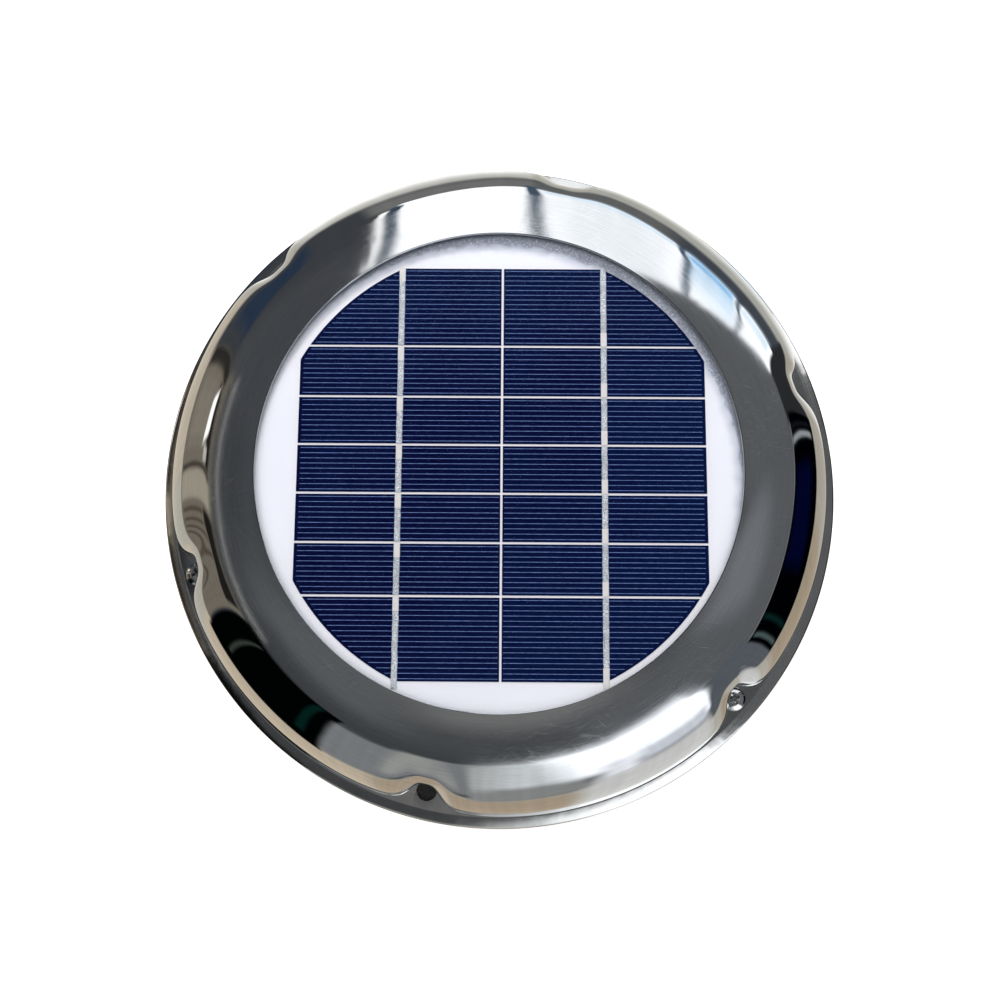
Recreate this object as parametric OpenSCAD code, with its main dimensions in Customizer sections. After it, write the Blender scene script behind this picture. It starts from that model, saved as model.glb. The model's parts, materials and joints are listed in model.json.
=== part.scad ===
// Solar attic fan: a round roof ventilator with a solar panel in a pressed cover.
// Origin: on the fan axis, on the roof plane under the flange. +Z points up, out of the roof.
// +X runs along the rows of the solar cells.

/* [Flange and fixings] */
// Outer diameter of the flange
flange_d = 215; // [213:0.5:217]
// Height of the flange's upper face above the roof
flange_z = 3.2; // [3.0:0.1:3.4]
// Thickness of the pressed steel sheet
sheet_t = 0.8; // [0.6:0.1:0.9]
// Angle of the first dent from +X, in degrees
dent_start = 17.3; // [0:0.1:25]
// Diameter of the circle through the three roof holes
roof_pcd = 197; // [196:0.5:198]
// Diameter of a roof hole
roof_hole_d = 6.3; // [5:0.1:6.4]
// Diameter of the circle through the three trim screws
trim_pcd = 199.4; // [198.5:0.1:200]

/* [Cover] */
// Radius of the round window in the cover
window_r = 73.4; // [72:0.1:74]
// Height of the window's rim above the roof
cover_z = 33; // [32.5:0.1:34]
// Radius at which the flat ring ends and the shoulder starts
ring_r = 88; // [87.5:0.1:88.5]
// Height of the ring's outer edge above the roof
ring_z = 30.4; // [30.2:0.1:30.6]
// Outer radius of the skirt
skirt_r = 102.9; // [102.5:0.1:103.2]
// Height of the skirt's lower edge above the roof
skirt_z = 6; // [5.8:0.1:6.5]
// Depth of a dent at the skirt
dent_depth = 6.7; // [5.5:0.1:7]
// Half-width of a dent at half its depth, at the skirt's edge, in degrees
dent_low = 3.0; // [2.8:0.1:3.5]
// Half-width of a dent at half its depth, on the shoulder, in degrees
dent_high = 4.8; // [4:0.1:5.5]

/* [Solar panel] */
// Radius of the round panel
panel_r = 77; // [76.5:0.1:77.5]
// Height of the glazing's upper face above the roof
panel_z = 30.5; // [30.4:0.1:30.6]
// Half of the cell array's width
array_w = 62.2; // [60:0.1:63]
// Half of the cell array's height
array_h = 63.9; // [60:0.1:64]
// Radius that trims the corners of the array
array_trim = 70.6; // [68:0.1:71]
// Gap between neighbouring cells
cell_gap = 0.7; // [0.5:0.1:1]
// Width of a tabbing ribbon
ribbon_w = 1.8; // [1.5:0.1:2.2]

/* [Duct and fan] */
// Outer radius of the duct spigot
spigot_r = 58; // [57.8:0.1:58.5]
// Depth of the spigot below the roof plane
spigot_depth = 26; // [25.5:0.5:30]
// Inner radius of the duct
duct_r = 55; // [54.8:0.1:55.2]
// Tip radius of the fan wheel
fan_r = 53; // [48:0.5:53.5]
// Number of blades
blade_count = 7; // [5:1:9]

/* [Motor] */
// Outer diameter of the motor can
motor_d = 24.4; // [24:0.1:24.4]
// Length of the motor can
motor_h = 12.3; // [12.3:0.1:12.8]
// Diameter of the motor shaft
shaft_d = 2; // [1.9:0.1:2.1]

/* [Hidden] */
SIDES = 96;
THIN_SIDES = 32;
DENTS = 6;
FIXINGS = 3;
SECTOR = 360 / DENTS;
EPS = 0.01;

// How far joined solids overlap, and how far a cutter runs past a face
LAP = 1;

// Pan heads: outline from the rim inward and cross recess, as shares of the head's radius and height
HEAD_OUTLINE = [[1, 0], [1, 0.45], [0.88, 0.8], [0.6, 1]];
RECESS_W = 0.3;
RECESS_L = 1.15;
RECESS_FLOOR = 0.4;

// Cover: shapes of the plain shoulder and of the bottom of a dent
SKIRT_TOP = 9.7;
DENT_TOP = 19.7;
PLAIN_POWER = 1.8;
DENT_POWER = 2.2;
BELL_POWER = 3.4;
RING_SLOPE = (cover_z - ring_z) / (ring_r - window_r);
SHOULDER_STEPS = 8;
HALF_STATIONS = 10;
STATION_POWER = 1.4;
LIP_DROP = 1.6;
LIP_INNER = 0.8;
LIP_ROUND = 0.4;

// Base plate: the coaming's foot and slope follow the cover's outline
FOOT_OUT = 1.3;
FOOT_EXTRA = 2.6;
FOOT_WIDTH = 2.9;
FOOT_FILLET = 0.9;
FOOT_RISE = 0.36;
COAMING_TOP_R = 95.2;
COAMING_TOP_DENT = 4.2;
COAMING_ROUND = 1.2;
COAMING_DROPS = [0.9, 0.18];
DECK_Z = 8.2;
DECK_INNER = 64.5;
RIM_ROUND = 0.4;
TRIM_SHANK_R = 1.7;
TRIM_CLEAR = 0.15;
TRIM_HEAD_R = 3.7;
TRIM_HEAD_H = 2.3;
TRIM_HEAD_TURN = 25;
TRIM_TIP = 0.4;

// Panel: the levels of its layers
GLAZING_T = 0.5;
GLAZING_GAP = 0.45;
GLAZING_RIM = 2.6;
CELL_T = 0.25;
RIBBON_T = 0.15;
BACKSHEET_T = 0.8;
TAPE_T = 0.5;
TAPE_INSET = 1;
GASKET_EASE = 0.2;
GLAZING_LOW = panel_z - GLAZING_T;
BACKSHEET_TOP = GLAZING_LOW - GLAZING_GAP;
CELL_TOP = BACKSHEET_TOP + CELL_T;
BACKSHEET_LOW = BACKSHEET_TOP - BACKSHEET_T;
CARRIER_TOP = BACKSHEET_LOW - TAPE_T;
CARRIER_T = 2.65;
CARRIER_LOW = CARRIER_TOP - CARRIER_T;
CARRIER_INNER = 69;
CARRIER_OUTER = 86;
CARRIER_WALL = 1.5;
CARRIER_WALL_H = 3;
ARRAY_X = 0.8;
ARRAY_Y = -0.6;
MID_ROW = 7.5;
ROW_LINES = [MID_ROW, 3 * MID_ROW, 38.5, array_h];
ROWS = [
    for (i = [3:-1:1]) [-ROW_LINES[i], -ROW_LINES[i - 1]],
    [-ROW_LINES[0], ROW_LINES[0]],
    for (i = [1:3]) [ROW_LINES[i - 1], ROW_LINES[i]]
];
RIBBON_TAIL = 1.8;

// Standoffs between the base and the cover, half way between dents
STANDOFF_PCR = 81;
STANDOFF_R = 4;
STUD_R = 2;
CLEAR_R = 2.2;
STANDOFF_TURN = dent_start + SECTOR / 2;
STUD_LOW = 21;
SCREW_TIP = 14;
WASHER_T = 0.8;
WASHER_R = 4.5;
COVER_HEAD_H = 2;
COVER_HEAD_R = 3.5;

// Moulded base
ABS_DECK_TOP = DECK_Z - sheet_t;
ABS_T = 2;
ABS_DECK_LOW = ABS_DECK_TOP - ABS_T;
ABS_FLANGE_LOW = 1;
ABS_FLANGE_TOP = flange_z - sheet_t;
ABS_FLANGE_GAP = 0.3;
ABS_FLANGE_R = flange_d / 2 - sheet_t - ABS_FLANGE_GAP;
ABS_STEP_OUT = 88;
ABS_STEP_IN = 86;
SHOULDER_W = 1.5;
SHOULDER_R = spigot_r + SHOULDER_W;
SCREEN_LEDGE_Z = -20;
SCREEN_LEDGE_T = 2;
SCREEN_LEDGE_R = 52.5;
SPIGOT_CHAMFER = 0.8;
MOUTH_CHAMFER = 1;
RIB_COUNT = 12;
RIB_T = 1.6;
TRIM_BOSS_R = 3;
FOAM_INSET = 1;
FOAM_EASE = 0.25;

// Screen at the mouth of the duct
SCREEN_T = 0.6;
SCREEN_WIRE = 1.2;
SCREEN_PITCH = 5;
RETAINER_W = 2;
RETAINER_H = 3;
SLIDE = 0.1;

// Motor bracket
BRACKET_T = 2;
BRACKET_IN = 57.5;
BRACKET_OUT = 63.5;
BRACKET_PCR = 60.5;
BRACKET_TURN = dent_start + 90;
BRACKET_SCREW_R = 1.2;
BRACKET_HEAD_R = 2.5;
BRACKET_HEAD_H = 1.6;
BRACKET_BOSS_R = 3;
BRACKET_SCREW_L = 6.5;
BRACKET_HOLE_Z = 2;
SCREW_EASE = 0.15;
ARM_W = 8;
ARM_INSET = 0.2;
SLEEVE_WALL = 1.5;
SLEEVE_H = 6;
DISC_R = 13.8;
BRACKET_TOP = ABS_DECK_TOP + BRACKET_T;

// Motor
CAN_T = 1;
CAN_LOW = BRACKET_TOP;
CAN_TOP = CAN_LOW + motor_h;
CAN_R = motor_d / 2;
CAP_T = 2;
CAP_SKIRT = 1;
CAP_SKIRT_T = 1.2;
COLLAR_T = 0.4;
COLLAR_H = 1;
SHAFT_R = shaft_d / 2;
RUN_CLEAR = 0.03;
BUSHING_R = 3;
BUSHING_H = 2.6;
FRONT_LOW = CAN_LOW - COLLAR_H;
REAR_LOW = CAN_TOP + CAP_T - BUSHING_H;
MAGNET_IN = 9.4;
MAGNET_ANGLE = 120;
MAGNET_LIFT = 1;
MAGNET_H = 7.4;
ARMATURE_R = 8.9;
ARMATURE_LOW = CAN_LOW + CAN_T + 2.4;
ARMATURE_H = 4.6;
POLES = 3;
POLE_W = 3;
POLE_SHOE_T = 1.3;
POLE_SHOE_ANGLE = 88;
CORE_HUB_R = 3;
COIL_W = 5.4;
COIL_OVER = 0.9;
COIL_START = 3.5;
COIL_RUN = 3.5;
THRUST_R = 2.4;
THRUST_T = 0.4;
THRUST_GAP = 0.2;
COMMUTATOR_R = 2.4;
COMMUTATOR_H = 1.6;
COMMUTATOR_DROP = 2.9;
BRUSH_DROP = 2.6;
BRUSH_H = 1.1;
BRUSH_W = 1.8;
BRUSH_GAP = 0.1;
TERMINAL_T = 0.8;
TERMINAL_W = 3;
TERMINAL_DROP = 2.8;
TERMINAL_UP = 2.2;
MOTOR_SCREW_PCR = 7;
MOTOR_SCREW_R = 1;
MOTOR_HEAD_R = 1.9;
MOTOR_HEAD_H = 1.3;
TERMINAL_X = 6;

// Fan wheel
HUB_R = 12;
HUB_TOP = 3.6;
HUB_LOW = -10;
HUB_WALL = 1.5;
HUB_BOSS_R = 4;
HUB_NOSE = [[3, 0], [0.8, 1], [0, 3]];
INSERT_R = 2.5;
INSERT_LOW = -7;
INSERT_TOP = 1;
SHAFT_LOW = -7;
SHAFT_TOP = CAN_TOP + CAP_T - 0.6;
BLADE_T = 1.4;
BLADE_ROOT = 10.9;
BLADE_MID_Z = -3;
BLADE_ROOT_CHORD = 10.5;
BLADE_TIP_CHORD = 30;
BLADE_ROOT_PITCH = 38;
BLADE_TIP_PITCH = 19;
BLADE_SWEEP = 12;
BLADE_SPANS = 6;
BLADE_CHORDS = 4;
BLADE_CAMBER = 1.6;
BLADE_EDGE = 0.45;

// Leads: one list of hand-placed points each, from the panel's potted block to the motor
PAD_Y = 30;
PAD_W = 16;
PAD_L = 10;
PAD_H = 2.6;
WIRE_R = 0.8;
WIRE_SIDES = 8;
WIRE_LEFT = [
    [-4, 25, 27.4], [-4, 22, 27.4], [-4.5, 18.5, 27], [-5.5, 14, 26.3],
    [-6, 9.5, 25.5], [-6, 5, 24.9], [-6, 1.5, 24.9]
];
WIRE_RIGHT = [for (p = WIRE_LEFT) [-p[0], p[1], p[2]]];

// ---- Shared shapes ----

module ring(inner, outer, low, high, sides = SIDES) {
    rotate_extrude($fn = sides)
        translate([inner, low])
            square([outer - inner, high - low]);
}

module around(count, radius, turn = 0) {
    for (i = [0:count - 1])
        rotate(turn + i * 360 / count)
            translate([radius, 0, 0])
                children();
}

// Pan-head screw: the head stands on z = 0 and the shank goes down from it
module pan_screw(head_r, head_h, shank_r, shank_l) {
    recess_w = head_r * RECESS_W;
    recess_l = head_r * RECESS_L;
    difference() {
        union() {
            rotate_extrude($fn = THIN_SIDES)
                polygon([
                    [0, 0], for (p = HEAD_OUTLINE) [p[0] * head_r, p[1] * head_h], [0, head_h]
                ]);
            translate([0, 0, -shank_l])
                cylinder(r = shank_r, h = shank_l, $fn = THIN_SIDES);
        }
        for (turn = [0, 90])
            rotate(turn)
                translate([-recess_l / 2, -recess_w / 2, head_h * RECESS_FLOOR])
                    cube([recess_l, recess_w, head_h]);
    }
}

// Solid swept once round: rings[i][j] is point j of the closed section at station i
module swept_ring(rings) {
    stations = len(rings);
    count = len(rings[0]);
    points = [for (section = rings) each section];
    function at(i, j) = (i % stations) * count + j % count;
    faces = [
        for (i = [0:stations - 1], j = [0:count - 1])
            each [
                [at(i, j), at(i, j + 1), at(i + 1, j + 1)],
                [at(i, j), at(i + 1, j + 1), at(i + 1, j)]
            ]
    ];
    polyhedron(points = points, faces = faces);
}

// ---- Outline shared by the cover and the base plate ----

// Angles of the stations in one turn, closer together in the dents
half_angles = [for (i = [0:HALF_STATIONS]) SECTOR / 2 * pow(i / HALF_STATIONS, STATION_POWER)];
sector_angles = concat(
    [for (i = [HALF_STATIONS - 1:-1:1]) -half_angles[i]],
    [for (i = [0:HALF_STATIONS]) half_angles[i]]
);
stations = [for (d = [0:DENTS - 1], a = sector_angles) [dent_start + d * SECTOR + a, abs(a)]];

// Share of a dent's depth at an angle from its middle
function bell(angle, half_width) = 1 / (1 + pow(angle / half_width, BELL_POWER));

// Radius of the skirt's lower edge at an angle from the nearest dent's middle
function skirt_edge(angle) = skirt_r - dent_depth * bell(angle, dent_low);

function polar(section, turn) = [
    for (p = section) [p[0] * cos(turn), p[0] * sin(turn), p[1]]
];

// ---- Cover ----

// Quarter of a rounded shoulder from the ring's edge (share 0) to the skirt (share 1)
function shoulder(share, run, low, power) =
    let (
        across = pow(sin(90 * share), 2 / power),
        up = pow(cos(90 * share), 2 / power)
    )
    [ring_r + run * across, low + (ring_z - low) * up - RING_SLOPE * run * across * (1 - across)];

function cover_point(step, angle) =
    let (
        share = step / SHOULDER_STEPS,
        width = dent_high + (dent_low - dent_high) * share,
        run = skirt_r - ring_r,
        w = bell(angle, width),
        plain = shoulder(share, run, SKIRT_TOP, PLAIN_POWER),
        dented = shoulder(share, run - dent_depth, DENT_TOP, DENT_POWER)
    )
    plain * (1 - w) + dented * w;

function cover_outside(angle) = concat(
    [[window_r, cover_z - LIP_DROP], [window_r, cover_z - LIP_ROUND], [window_r + LIP_ROUND, cover_z]],
    [for (k = [0:SHOULDER_STEPS]) cover_point(k, angle)],
    [[skirt_edge(angle), skirt_z]]
);

// Underside of the cover's flat ring at a radius
function cover_under(r) = cover_z - RING_SLOPE * (r - window_r) - sheet_t * norm([1, RING_SLOPE]);

// Inner skin: each outer point moved in by the sheet's thickness, square to the outline
function inner_point(path, k, thick) =
    let (
        run = path[min(k + 1, len(path) - 1)] - path[max(k - 1, 0)],
        along = run / norm(run)
    )
    path[k] + thick * [along[1], -along[0]];

function cover_section(angle) =
    let (
        outside = cover_outside(angle),
        last = len(outside) - 1
    )
    concat(
        outside,
        [[outside[last][0] - sheet_t, skirt_z]],
        [for (k = [last - 1:-1:3]) inner_point(outside, k, sheet_t)],
        [
            [window_r + sheet_t + LIP_INNER, cover_under(window_r + sheet_t + LIP_INNER)],
            [window_r + sheet_t, cover_z - LIP_DROP]
        ]
    );

module cover_shell() {
    color("silver")
        swept_ring([for (s = stations) polar(cover_section(s[1]), s[0])]);
}

// ---- Solar panel ----

module panel_glazing() {
    rim = panel_r - GLAZING_RIM;
    color([0.9, 0.95, 1, 0.3])
        rotate_extrude($fn = SIDES)
            polygon([
                [0, GLAZING_LOW], [rim, GLAZING_LOW], [rim, BACKSHEET_TOP],
                [panel_r, BACKSHEET_TOP], [panel_r, panel_z], [0, panel_z]
            ]);
}

// Cells: two columns of strips, the end rows taller, trimmed to a circle
module solar_cells() {
    color("midnightblue")
        translate([ARRAY_X, ARRAY_Y, BACKSHEET_TOP])
            for (row = ROWS, side = [0, 1])
                intersection() {
                    translate([side * array_w - array_w + cell_gap / 2, row[0] + cell_gap / 2, 0])
                        cube([array_w - cell_gap, row[1] - row[0] - cell_gap, CELL_T]);
                    cylinder(r = array_trim, h = CELL_T, $fn = SIDES);
                }
}

// Ribbons: one per column, a piece on each cell, with a tail past the lowest one
module tabbing_ribbons() {
    color("lightgray")
        translate([ARRAY_X, ARRAY_Y, CELL_TOP])
            for (x = [-array_w / 2, array_w / 2], i = [0:len(ROWS) - 1]) {
                tail = i == 0 ? RIBBON_TAIL : -cell_gap / 2;
                low = ROWS[i][0] - tail;
                translate([x - ribbon_w / 2, low, 0])
                    cube([ribbon_w, ROWS[i][1] - cell_gap / 2 - low, RIBBON_T]);
            }
}

module panel_backsheet() {
    color("white")
        translate([0, 0, BACKSHEET_LOW])
            cylinder(r = panel_r, h = BACKSHEET_T, $fn = SIDES);
}

module panel_gasket() {
    low_r = window_r + sheet_t + LIP_INNER + GASKET_EASE;
    high_r = panel_r - GASKET_EASE;
    color("dimgray")
        rotate_extrude($fn = SIDES)
            polygon([
                [low_r, panel_z], [high_r, panel_z],
                [high_r, cover_under(high_r) - EPS], [low_r, cover_under(low_r) - EPS]
            ]);
}

module panel_tape() {
    color("black")
        ring(CARRIER_INNER + TAPE_INSET, panel_r - TAPE_INSET, CARRIER_TOP, BACKSHEET_LOW);
}

// Carrier ring with a stiffening wall under its inner edge and a hole for each stud
module panel_carrier() {
    color([0.9, 0.9, 0.88])
        difference() {
            union() {
                ring(CARRIER_INNER, CARRIER_OUTER, CARRIER_LOW, CARRIER_TOP);
                ring(CARRIER_INNER, CARRIER_INNER + CARRIER_WALL, CARRIER_LOW - CARRIER_WALL_H, CARRIER_LOW);
            }
            around(FIXINGS, STANDOFF_PCR, STANDOFF_TURN)
                translate([0, 0, CARRIER_LOW - LAP])
                    cylinder(r = CLEAR_R, h = CARRIER_T + 2 * LAP, $fn = THIN_SIDES);
        }
}

module junction_pad() {
    color([0.15, 0.15, 0.15])
        translate([-PAD_W / 2, PAD_Y - PAD_L / 2, BACKSHEET_LOW - PAD_H])
            cube([PAD_W, PAD_L, PAD_H]);
}

// Round lead along a list of points: a closed tube whose rings stand square to the route
module lead(route) {
    last = len(route) - 1;
    function heading(i) =
        let (d = route[min(i + 1, last)] - route[max(i - 1, 0)])
        d / norm(d);
    function side(i) =
        let (c = cross(heading(i), [1, 0, 0]))
        c / norm(c);
    points = [
        for (i = [0:last], j = [0:WIRE_SIDES - 1])
            let (a = j * 360 / WIRE_SIDES, s = side(i), t = cross(heading(i), s))
            route[i] + WIRE_R * (cos(a) * s + sin(a) * t)
    ];
    function at(i, j) = i * WIRE_SIDES + j % WIRE_SIDES;
    walls = [
        for (i = [0:last - 1], j = [0:WIRE_SIDES - 1])
            each [
                [at(i, j), at(i + 1, j), at(i + 1, j + 1)],
                [at(i, j), at(i + 1, j + 1), at(i, j + 1)]
            ]
    ];
    first_cap = [for (j = [0:WIRE_SIDES - 1]) at(0, j)];
    last_cap = [for (j = [WIRE_SIDES - 1:-1:0]) at(last, j)];
    polyhedron(points = points, faces = concat(walls, [first_cap], [last_cap]));
}

module wire_red() {
    color("red")
        lead(WIRE_RIGHT);
}

module wire_black() {
    color("black")
        lead(WIRE_LEFT);
}

// ---- Cover fixings ----

module cover_studs() {
    color("gray")
        around(FIXINGS, STANDOFF_PCR, STANDOFF_TURN)
            translate([0, 0, STUD_LOW])
                cylinder(r = STUD_R, h = cover_under(STANDOFF_PCR + STUD_R) - STUD_LOW, $fn = THIN_SIDES);
}

module cover_standoffs() {
    color("silver")
        around(FIXINGS, STANDOFF_PCR, STANDOFF_TURN)
            ring(STUD_R, STANDOFF_R, DECK_Z, CARRIER_LOW, THIN_SIDES);
}

module cover_washers() {
    color("silver")
        around(FIXINGS, STANDOFF_PCR, STANDOFF_TURN)
            ring(CLEAR_R, WASHER_R, ABS_DECK_LOW - WASHER_T, ABS_DECK_LOW, THIN_SIDES);
}

module cover_screws() {
    head_z = ABS_DECK_LOW - WASHER_T;
    color("silver")
        around(FIXINGS, STANDOFF_PCR, STANDOFF_TURN)
            translate([0, 0, head_z])
                mirror([0, 0, 1])
                    pan_screw(COVER_HEAD_R, COVER_HEAD_H, STUD_R, SCREW_TIP - head_z);
}

// ---- Base ----

// Section of the pressed base: hem, flat pad, fillet, sloping coaming, deck and drip lip
function base_outside(angle) =
    let (
        rim = flange_d / 2,
        foot = skirt_r + FOOT_OUT - (dent_depth + FOOT_EXTRA) * bell(angle, FOOT_WIDTH),
        top = COAMING_TOP_R - COAMING_TOP_DENT * bell(angle, dent_high)
    )
    [
        [rim, 0], [rim, flange_z - RIM_ROUND], [rim - RIM_ROUND, flange_z],
        [foot, flange_z], [foot - FOOT_FILLET, flange_z + FOOT_RISE],
        [top + COAMING_ROUND, DECK_Z - COAMING_DROPS[0]], [top, DECK_Z - COAMING_DROPS[1]],
        [top - COAMING_ROUND, DECK_Z], [DECK_INNER, DECK_Z]
    ];

function base_section(angle) =
    let (
        outside = base_outside(angle),
        hem = flange_d / 2 - sheet_t
    )
    concat(
        outside,
        [[DECK_INNER, DECK_Z - sheet_t]],
        [for (k = [len(outside) - 2:-1:3]) [outside[k][0] - sheet_t / 2, outside[k][1] - sheet_t]],
        [[hem, flange_z - sheet_t], [hem, 0]]
    );

module base_plate() {
    tall = DECK_Z + LAP;
    color("silver")
        difference() {
            swept_ring([for (s = stations) polar(base_section(s[1]), s[0])]);
            around(FIXINGS, roof_pcd / 2, dent_start)
                cylinder(r = roof_hole_d / 2, h = tall, $fn = THIN_SIDES);
            around(FIXINGS, trim_pcd / 2, dent_start + SECTOR)
                cylinder(r = TRIM_SHANK_R + TRIM_CLEAR, h = tall, $fn = THIN_SIDES);
            around(FIXINGS, STANDOFF_PCR, STANDOFF_TURN)
                cylinder(r = CLEAR_R, h = tall, $fn = THIN_SIDES);
        }
}

module trim_screws() {
    color("silver")
        around(FIXINGS, trim_pcd / 2, dent_start + SECTOR)
            translate([0, 0, flange_z])
                rotate(TRIM_HEAD_TURN)
                    pan_screw(TRIM_HEAD_R, TRIM_HEAD_H, TRIM_SHANK_R, flange_z - TRIM_TIP);
}

// Duct: spigot, shoulder and the ledge under the screen, with a hollow for each bracket boss
module duct_tube() {
    color([0.92, 0.92, 0.9])
        difference() {
            rotate_extrude($fn = SIDES)
                polygon([
                    [duct_r, -spigot_depth], [spigot_r - SPIGOT_CHAMFER, -spigot_depth],
                    [spigot_r, SPIGOT_CHAMFER - spigot_depth], [spigot_r, 0], [SHOULDER_R, 0],
                    [SHOULDER_R, ABS_DECK_LOW], [duct_r, ABS_DECK_LOW], [duct_r, SCREEN_LEDGE_Z],
                    [SCREEN_LEDGE_R, SCREEN_LEDGE_Z],
                    [SCREEN_LEDGE_R, SCREEN_LEDGE_Z - SCREEN_LEDGE_T],
                    [duct_r, SCREEN_LEDGE_Z - SCREEN_LEDGE_T]
                ]);
            around(FIXINGS, BRACKET_PCR, BRACKET_TURN)
                translate([0, 0, ABS_FLANGE_LOW - SLIDE])
                    cylinder(r = BRACKET_BOSS_R + SLIDE, h = ABS_DECK_LOW, $fn = THIN_SIDES);
        }
}

// Moulded base on top of the duct: deck, step and flange in one section, then bosses and ribs
module duct_base() {
    under_deck = ABS_DECK_LOW - ABS_FLANGE_LOW + LAP;
    color([0.92, 0.92, 0.9])
        difference() {
            union() {
                rotate_extrude($fn = SIDES)
                    polygon([
                        [duct_r, ABS_DECK_LOW], [ABS_STEP_IN, ABS_DECK_LOW],
                        [ABS_STEP_IN, ABS_FLANGE_LOW], [ABS_FLANGE_R, ABS_FLANGE_LOW],
                        [ABS_FLANGE_R, ABS_FLANGE_TOP], [ABS_STEP_OUT, ABS_FLANGE_TOP],
                        [ABS_STEP_OUT, ABS_DECK_TOP], [duct_r + MOUTH_CHAMFER, ABS_DECK_TOP],
                        [duct_r, ABS_DECK_TOP - MOUTH_CHAMFER]
                    ]);
                around(RIB_COUNT, SHOULDER_R, STANDOFF_TURN + 180 / RIB_COUNT)
                    translate([0, -RIB_T / 2, ABS_FLANGE_LOW])
                        cube([ABS_STEP_IN - SHOULDER_R + LAP, RIB_T, under_deck]);
                around(FIXINGS, BRACKET_PCR, BRACKET_TURN)
                    translate([0, 0, ABS_FLANGE_LOW])
                        cylinder(r = BRACKET_BOSS_R, h = under_deck, $fn = THIN_SIDES);
                around(FIXINGS, trim_pcd / 2, dent_start + SECTOR)
                    cylinder(r = TRIM_BOSS_R, h = ABS_FLANGE_LOW + LAP, $fn = THIN_SIDES);
            }
            around(FIXINGS, roof_pcd / 2, dent_start)
                translate([0, 0, -LAP])
                    cylinder(r = roof_hole_d / 2, h = flange_z + 2 * LAP, $fn = THIN_SIDES);
            around(FIXINGS, trim_pcd / 2, dent_start + SECTOR)
                translate([0, 0, TRIM_TIP])
                    cylinder(r = TRIM_SHANK_R, h = flange_z, $fn = THIN_SIDES);
            around(FIXINGS, STANDOFF_PCR, STANDOFF_TURN)
                translate([0, 0, ABS_DECK_LOW - LAP])
                    cylinder(r = CLEAR_R, h = ABS_T + 2 * LAP, $fn = THIN_SIDES);
            around(FIXINGS, BRACKET_PCR, BRACKET_TURN)
                translate([0, 0, BRACKET_HOLE_Z])
                    cylinder(r = BRACKET_SCREW_R, h = ABS_DECK_TOP, $fn = THIN_SIDES);
        }
}

module deck_gasket() {
    color([0.12, 0.12, 0.12])
        difference() {
            ring(ABS_STEP_OUT + FOAM_INSET, ABS_FLANGE_R - FOAM_EASE, 0, ABS_FLANGE_LOW);
            around(FIXINGS, roof_pcd / 2, dent_start)
                translate([0, 0, -LAP])
                    cylinder(r = roof_hole_d / 2, h = ABS_FLANGE_LOW + 2 * LAP, $fn = THIN_SIDES);
            around(FIXINGS, trim_pcd / 2, dent_start + SECTOR)
                translate([0, 0, -LAP])
                    cylinder(r = TRIM_BOSS_R + SLIDE, h = ABS_FLANGE_LOW + 2 * LAP, $fn = THIN_SIDES);
        }
}

// ---- Screen ----

// Mesh of two crossed layers of flat wires on the duct's ledge, each wire its own solid
module insect_screen() {
    reach = floor((duct_r - SLIDE) / SCREEN_PITCH);
    wire_t = SCREEN_T / 2;
    color("gray")
        translate([0, 0, SCREEN_LEDGE_Z])
            for (layer = [0, 1], i = [-reach:reach]) {
                edge = abs(i) * SCREEN_PITCH + SCREEN_WIRE / 2;
                half = sqrt(pow(duct_r - SLIDE, 2) - edge * edge);
                rotate(90 * layer)
                    translate([i * SCREEN_PITCH - SCREEN_WIRE / 2, -half, layer * wire_t])
                        cube([SCREEN_WIRE, 2 * half, wire_t - EPS]);
            }
}

module screen_retainer() {
    low = SCREEN_LEDGE_Z + SCREEN_T;
    color("white")
        ring(duct_r - RETAINER_W, duct_r - EPS, low, low + RETAINER_H);
}

// ---- Motor bracket ----

// Flat spider: a rim on the duct's deck, three arms and the disc under the motor
module motor_bracket() {
    color([0.1, 0.1, 0.1])
        difference() {
            union() {
                ring(BRACKET_IN, BRACKET_OUT, ABS_DECK_TOP, BRACKET_TOP);
                around(FIXINGS, CAN_R, BRACKET_TURN)
                    translate([0, -ARM_W / 2, ABS_DECK_TOP + ARM_INSET])
                        cube([BRACKET_IN - CAN_R + LAP, ARM_W, BRACKET_T - 2 * ARM_INSET]);
                translate([0, 0, ABS_DECK_TOP])
                    rotate(BRACKET_TURN + SECTOR)
                        cylinder(r = DISC_R, h = BRACKET_T, $fn = SIDES);
            }
            translate([0, 0, ABS_DECK_TOP - LAP]) {
                cylinder(r = BUSHING_R + COLLAR_T + SCREW_EASE, h = BRACKET_T + 2 * LAP, $fn = THIN_SIDES);
                around(2, MOTOR_SCREW_PCR)
                    cylinder(r = MOTOR_SCREW_R + SCREW_EASE, h = BRACKET_T + 2 * LAP, $fn = THIN_SIDES);
                around(FIXINGS, BRACKET_PCR, BRACKET_TURN)
                    cylinder(r = BRACKET_SCREW_R + SCREW_EASE, h = BRACKET_T + 2 * LAP, $fn = THIN_SIDES);
            }
        }
}

// Rubber sleeve round the lower half of the motor can
module motor_sleeve() {
    color([0.15, 0.15, 0.15])
        ring(CAN_R, CAN_R + SLEEVE_WALL, BRACKET_TOP, BRACKET_TOP + SLEEVE_H);
}

module bracket_screws() {
    color("silver")
        around(FIXINGS, BRACKET_PCR, BRACKET_TURN)
            translate([0, 0, BRACKET_TOP])
                pan_screw(BRACKET_HEAD_R, BRACKET_HEAD_H, BRACKET_SCREW_R, BRACKET_SCREW_L);
}

// ---- Motor, fixed half ----

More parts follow.
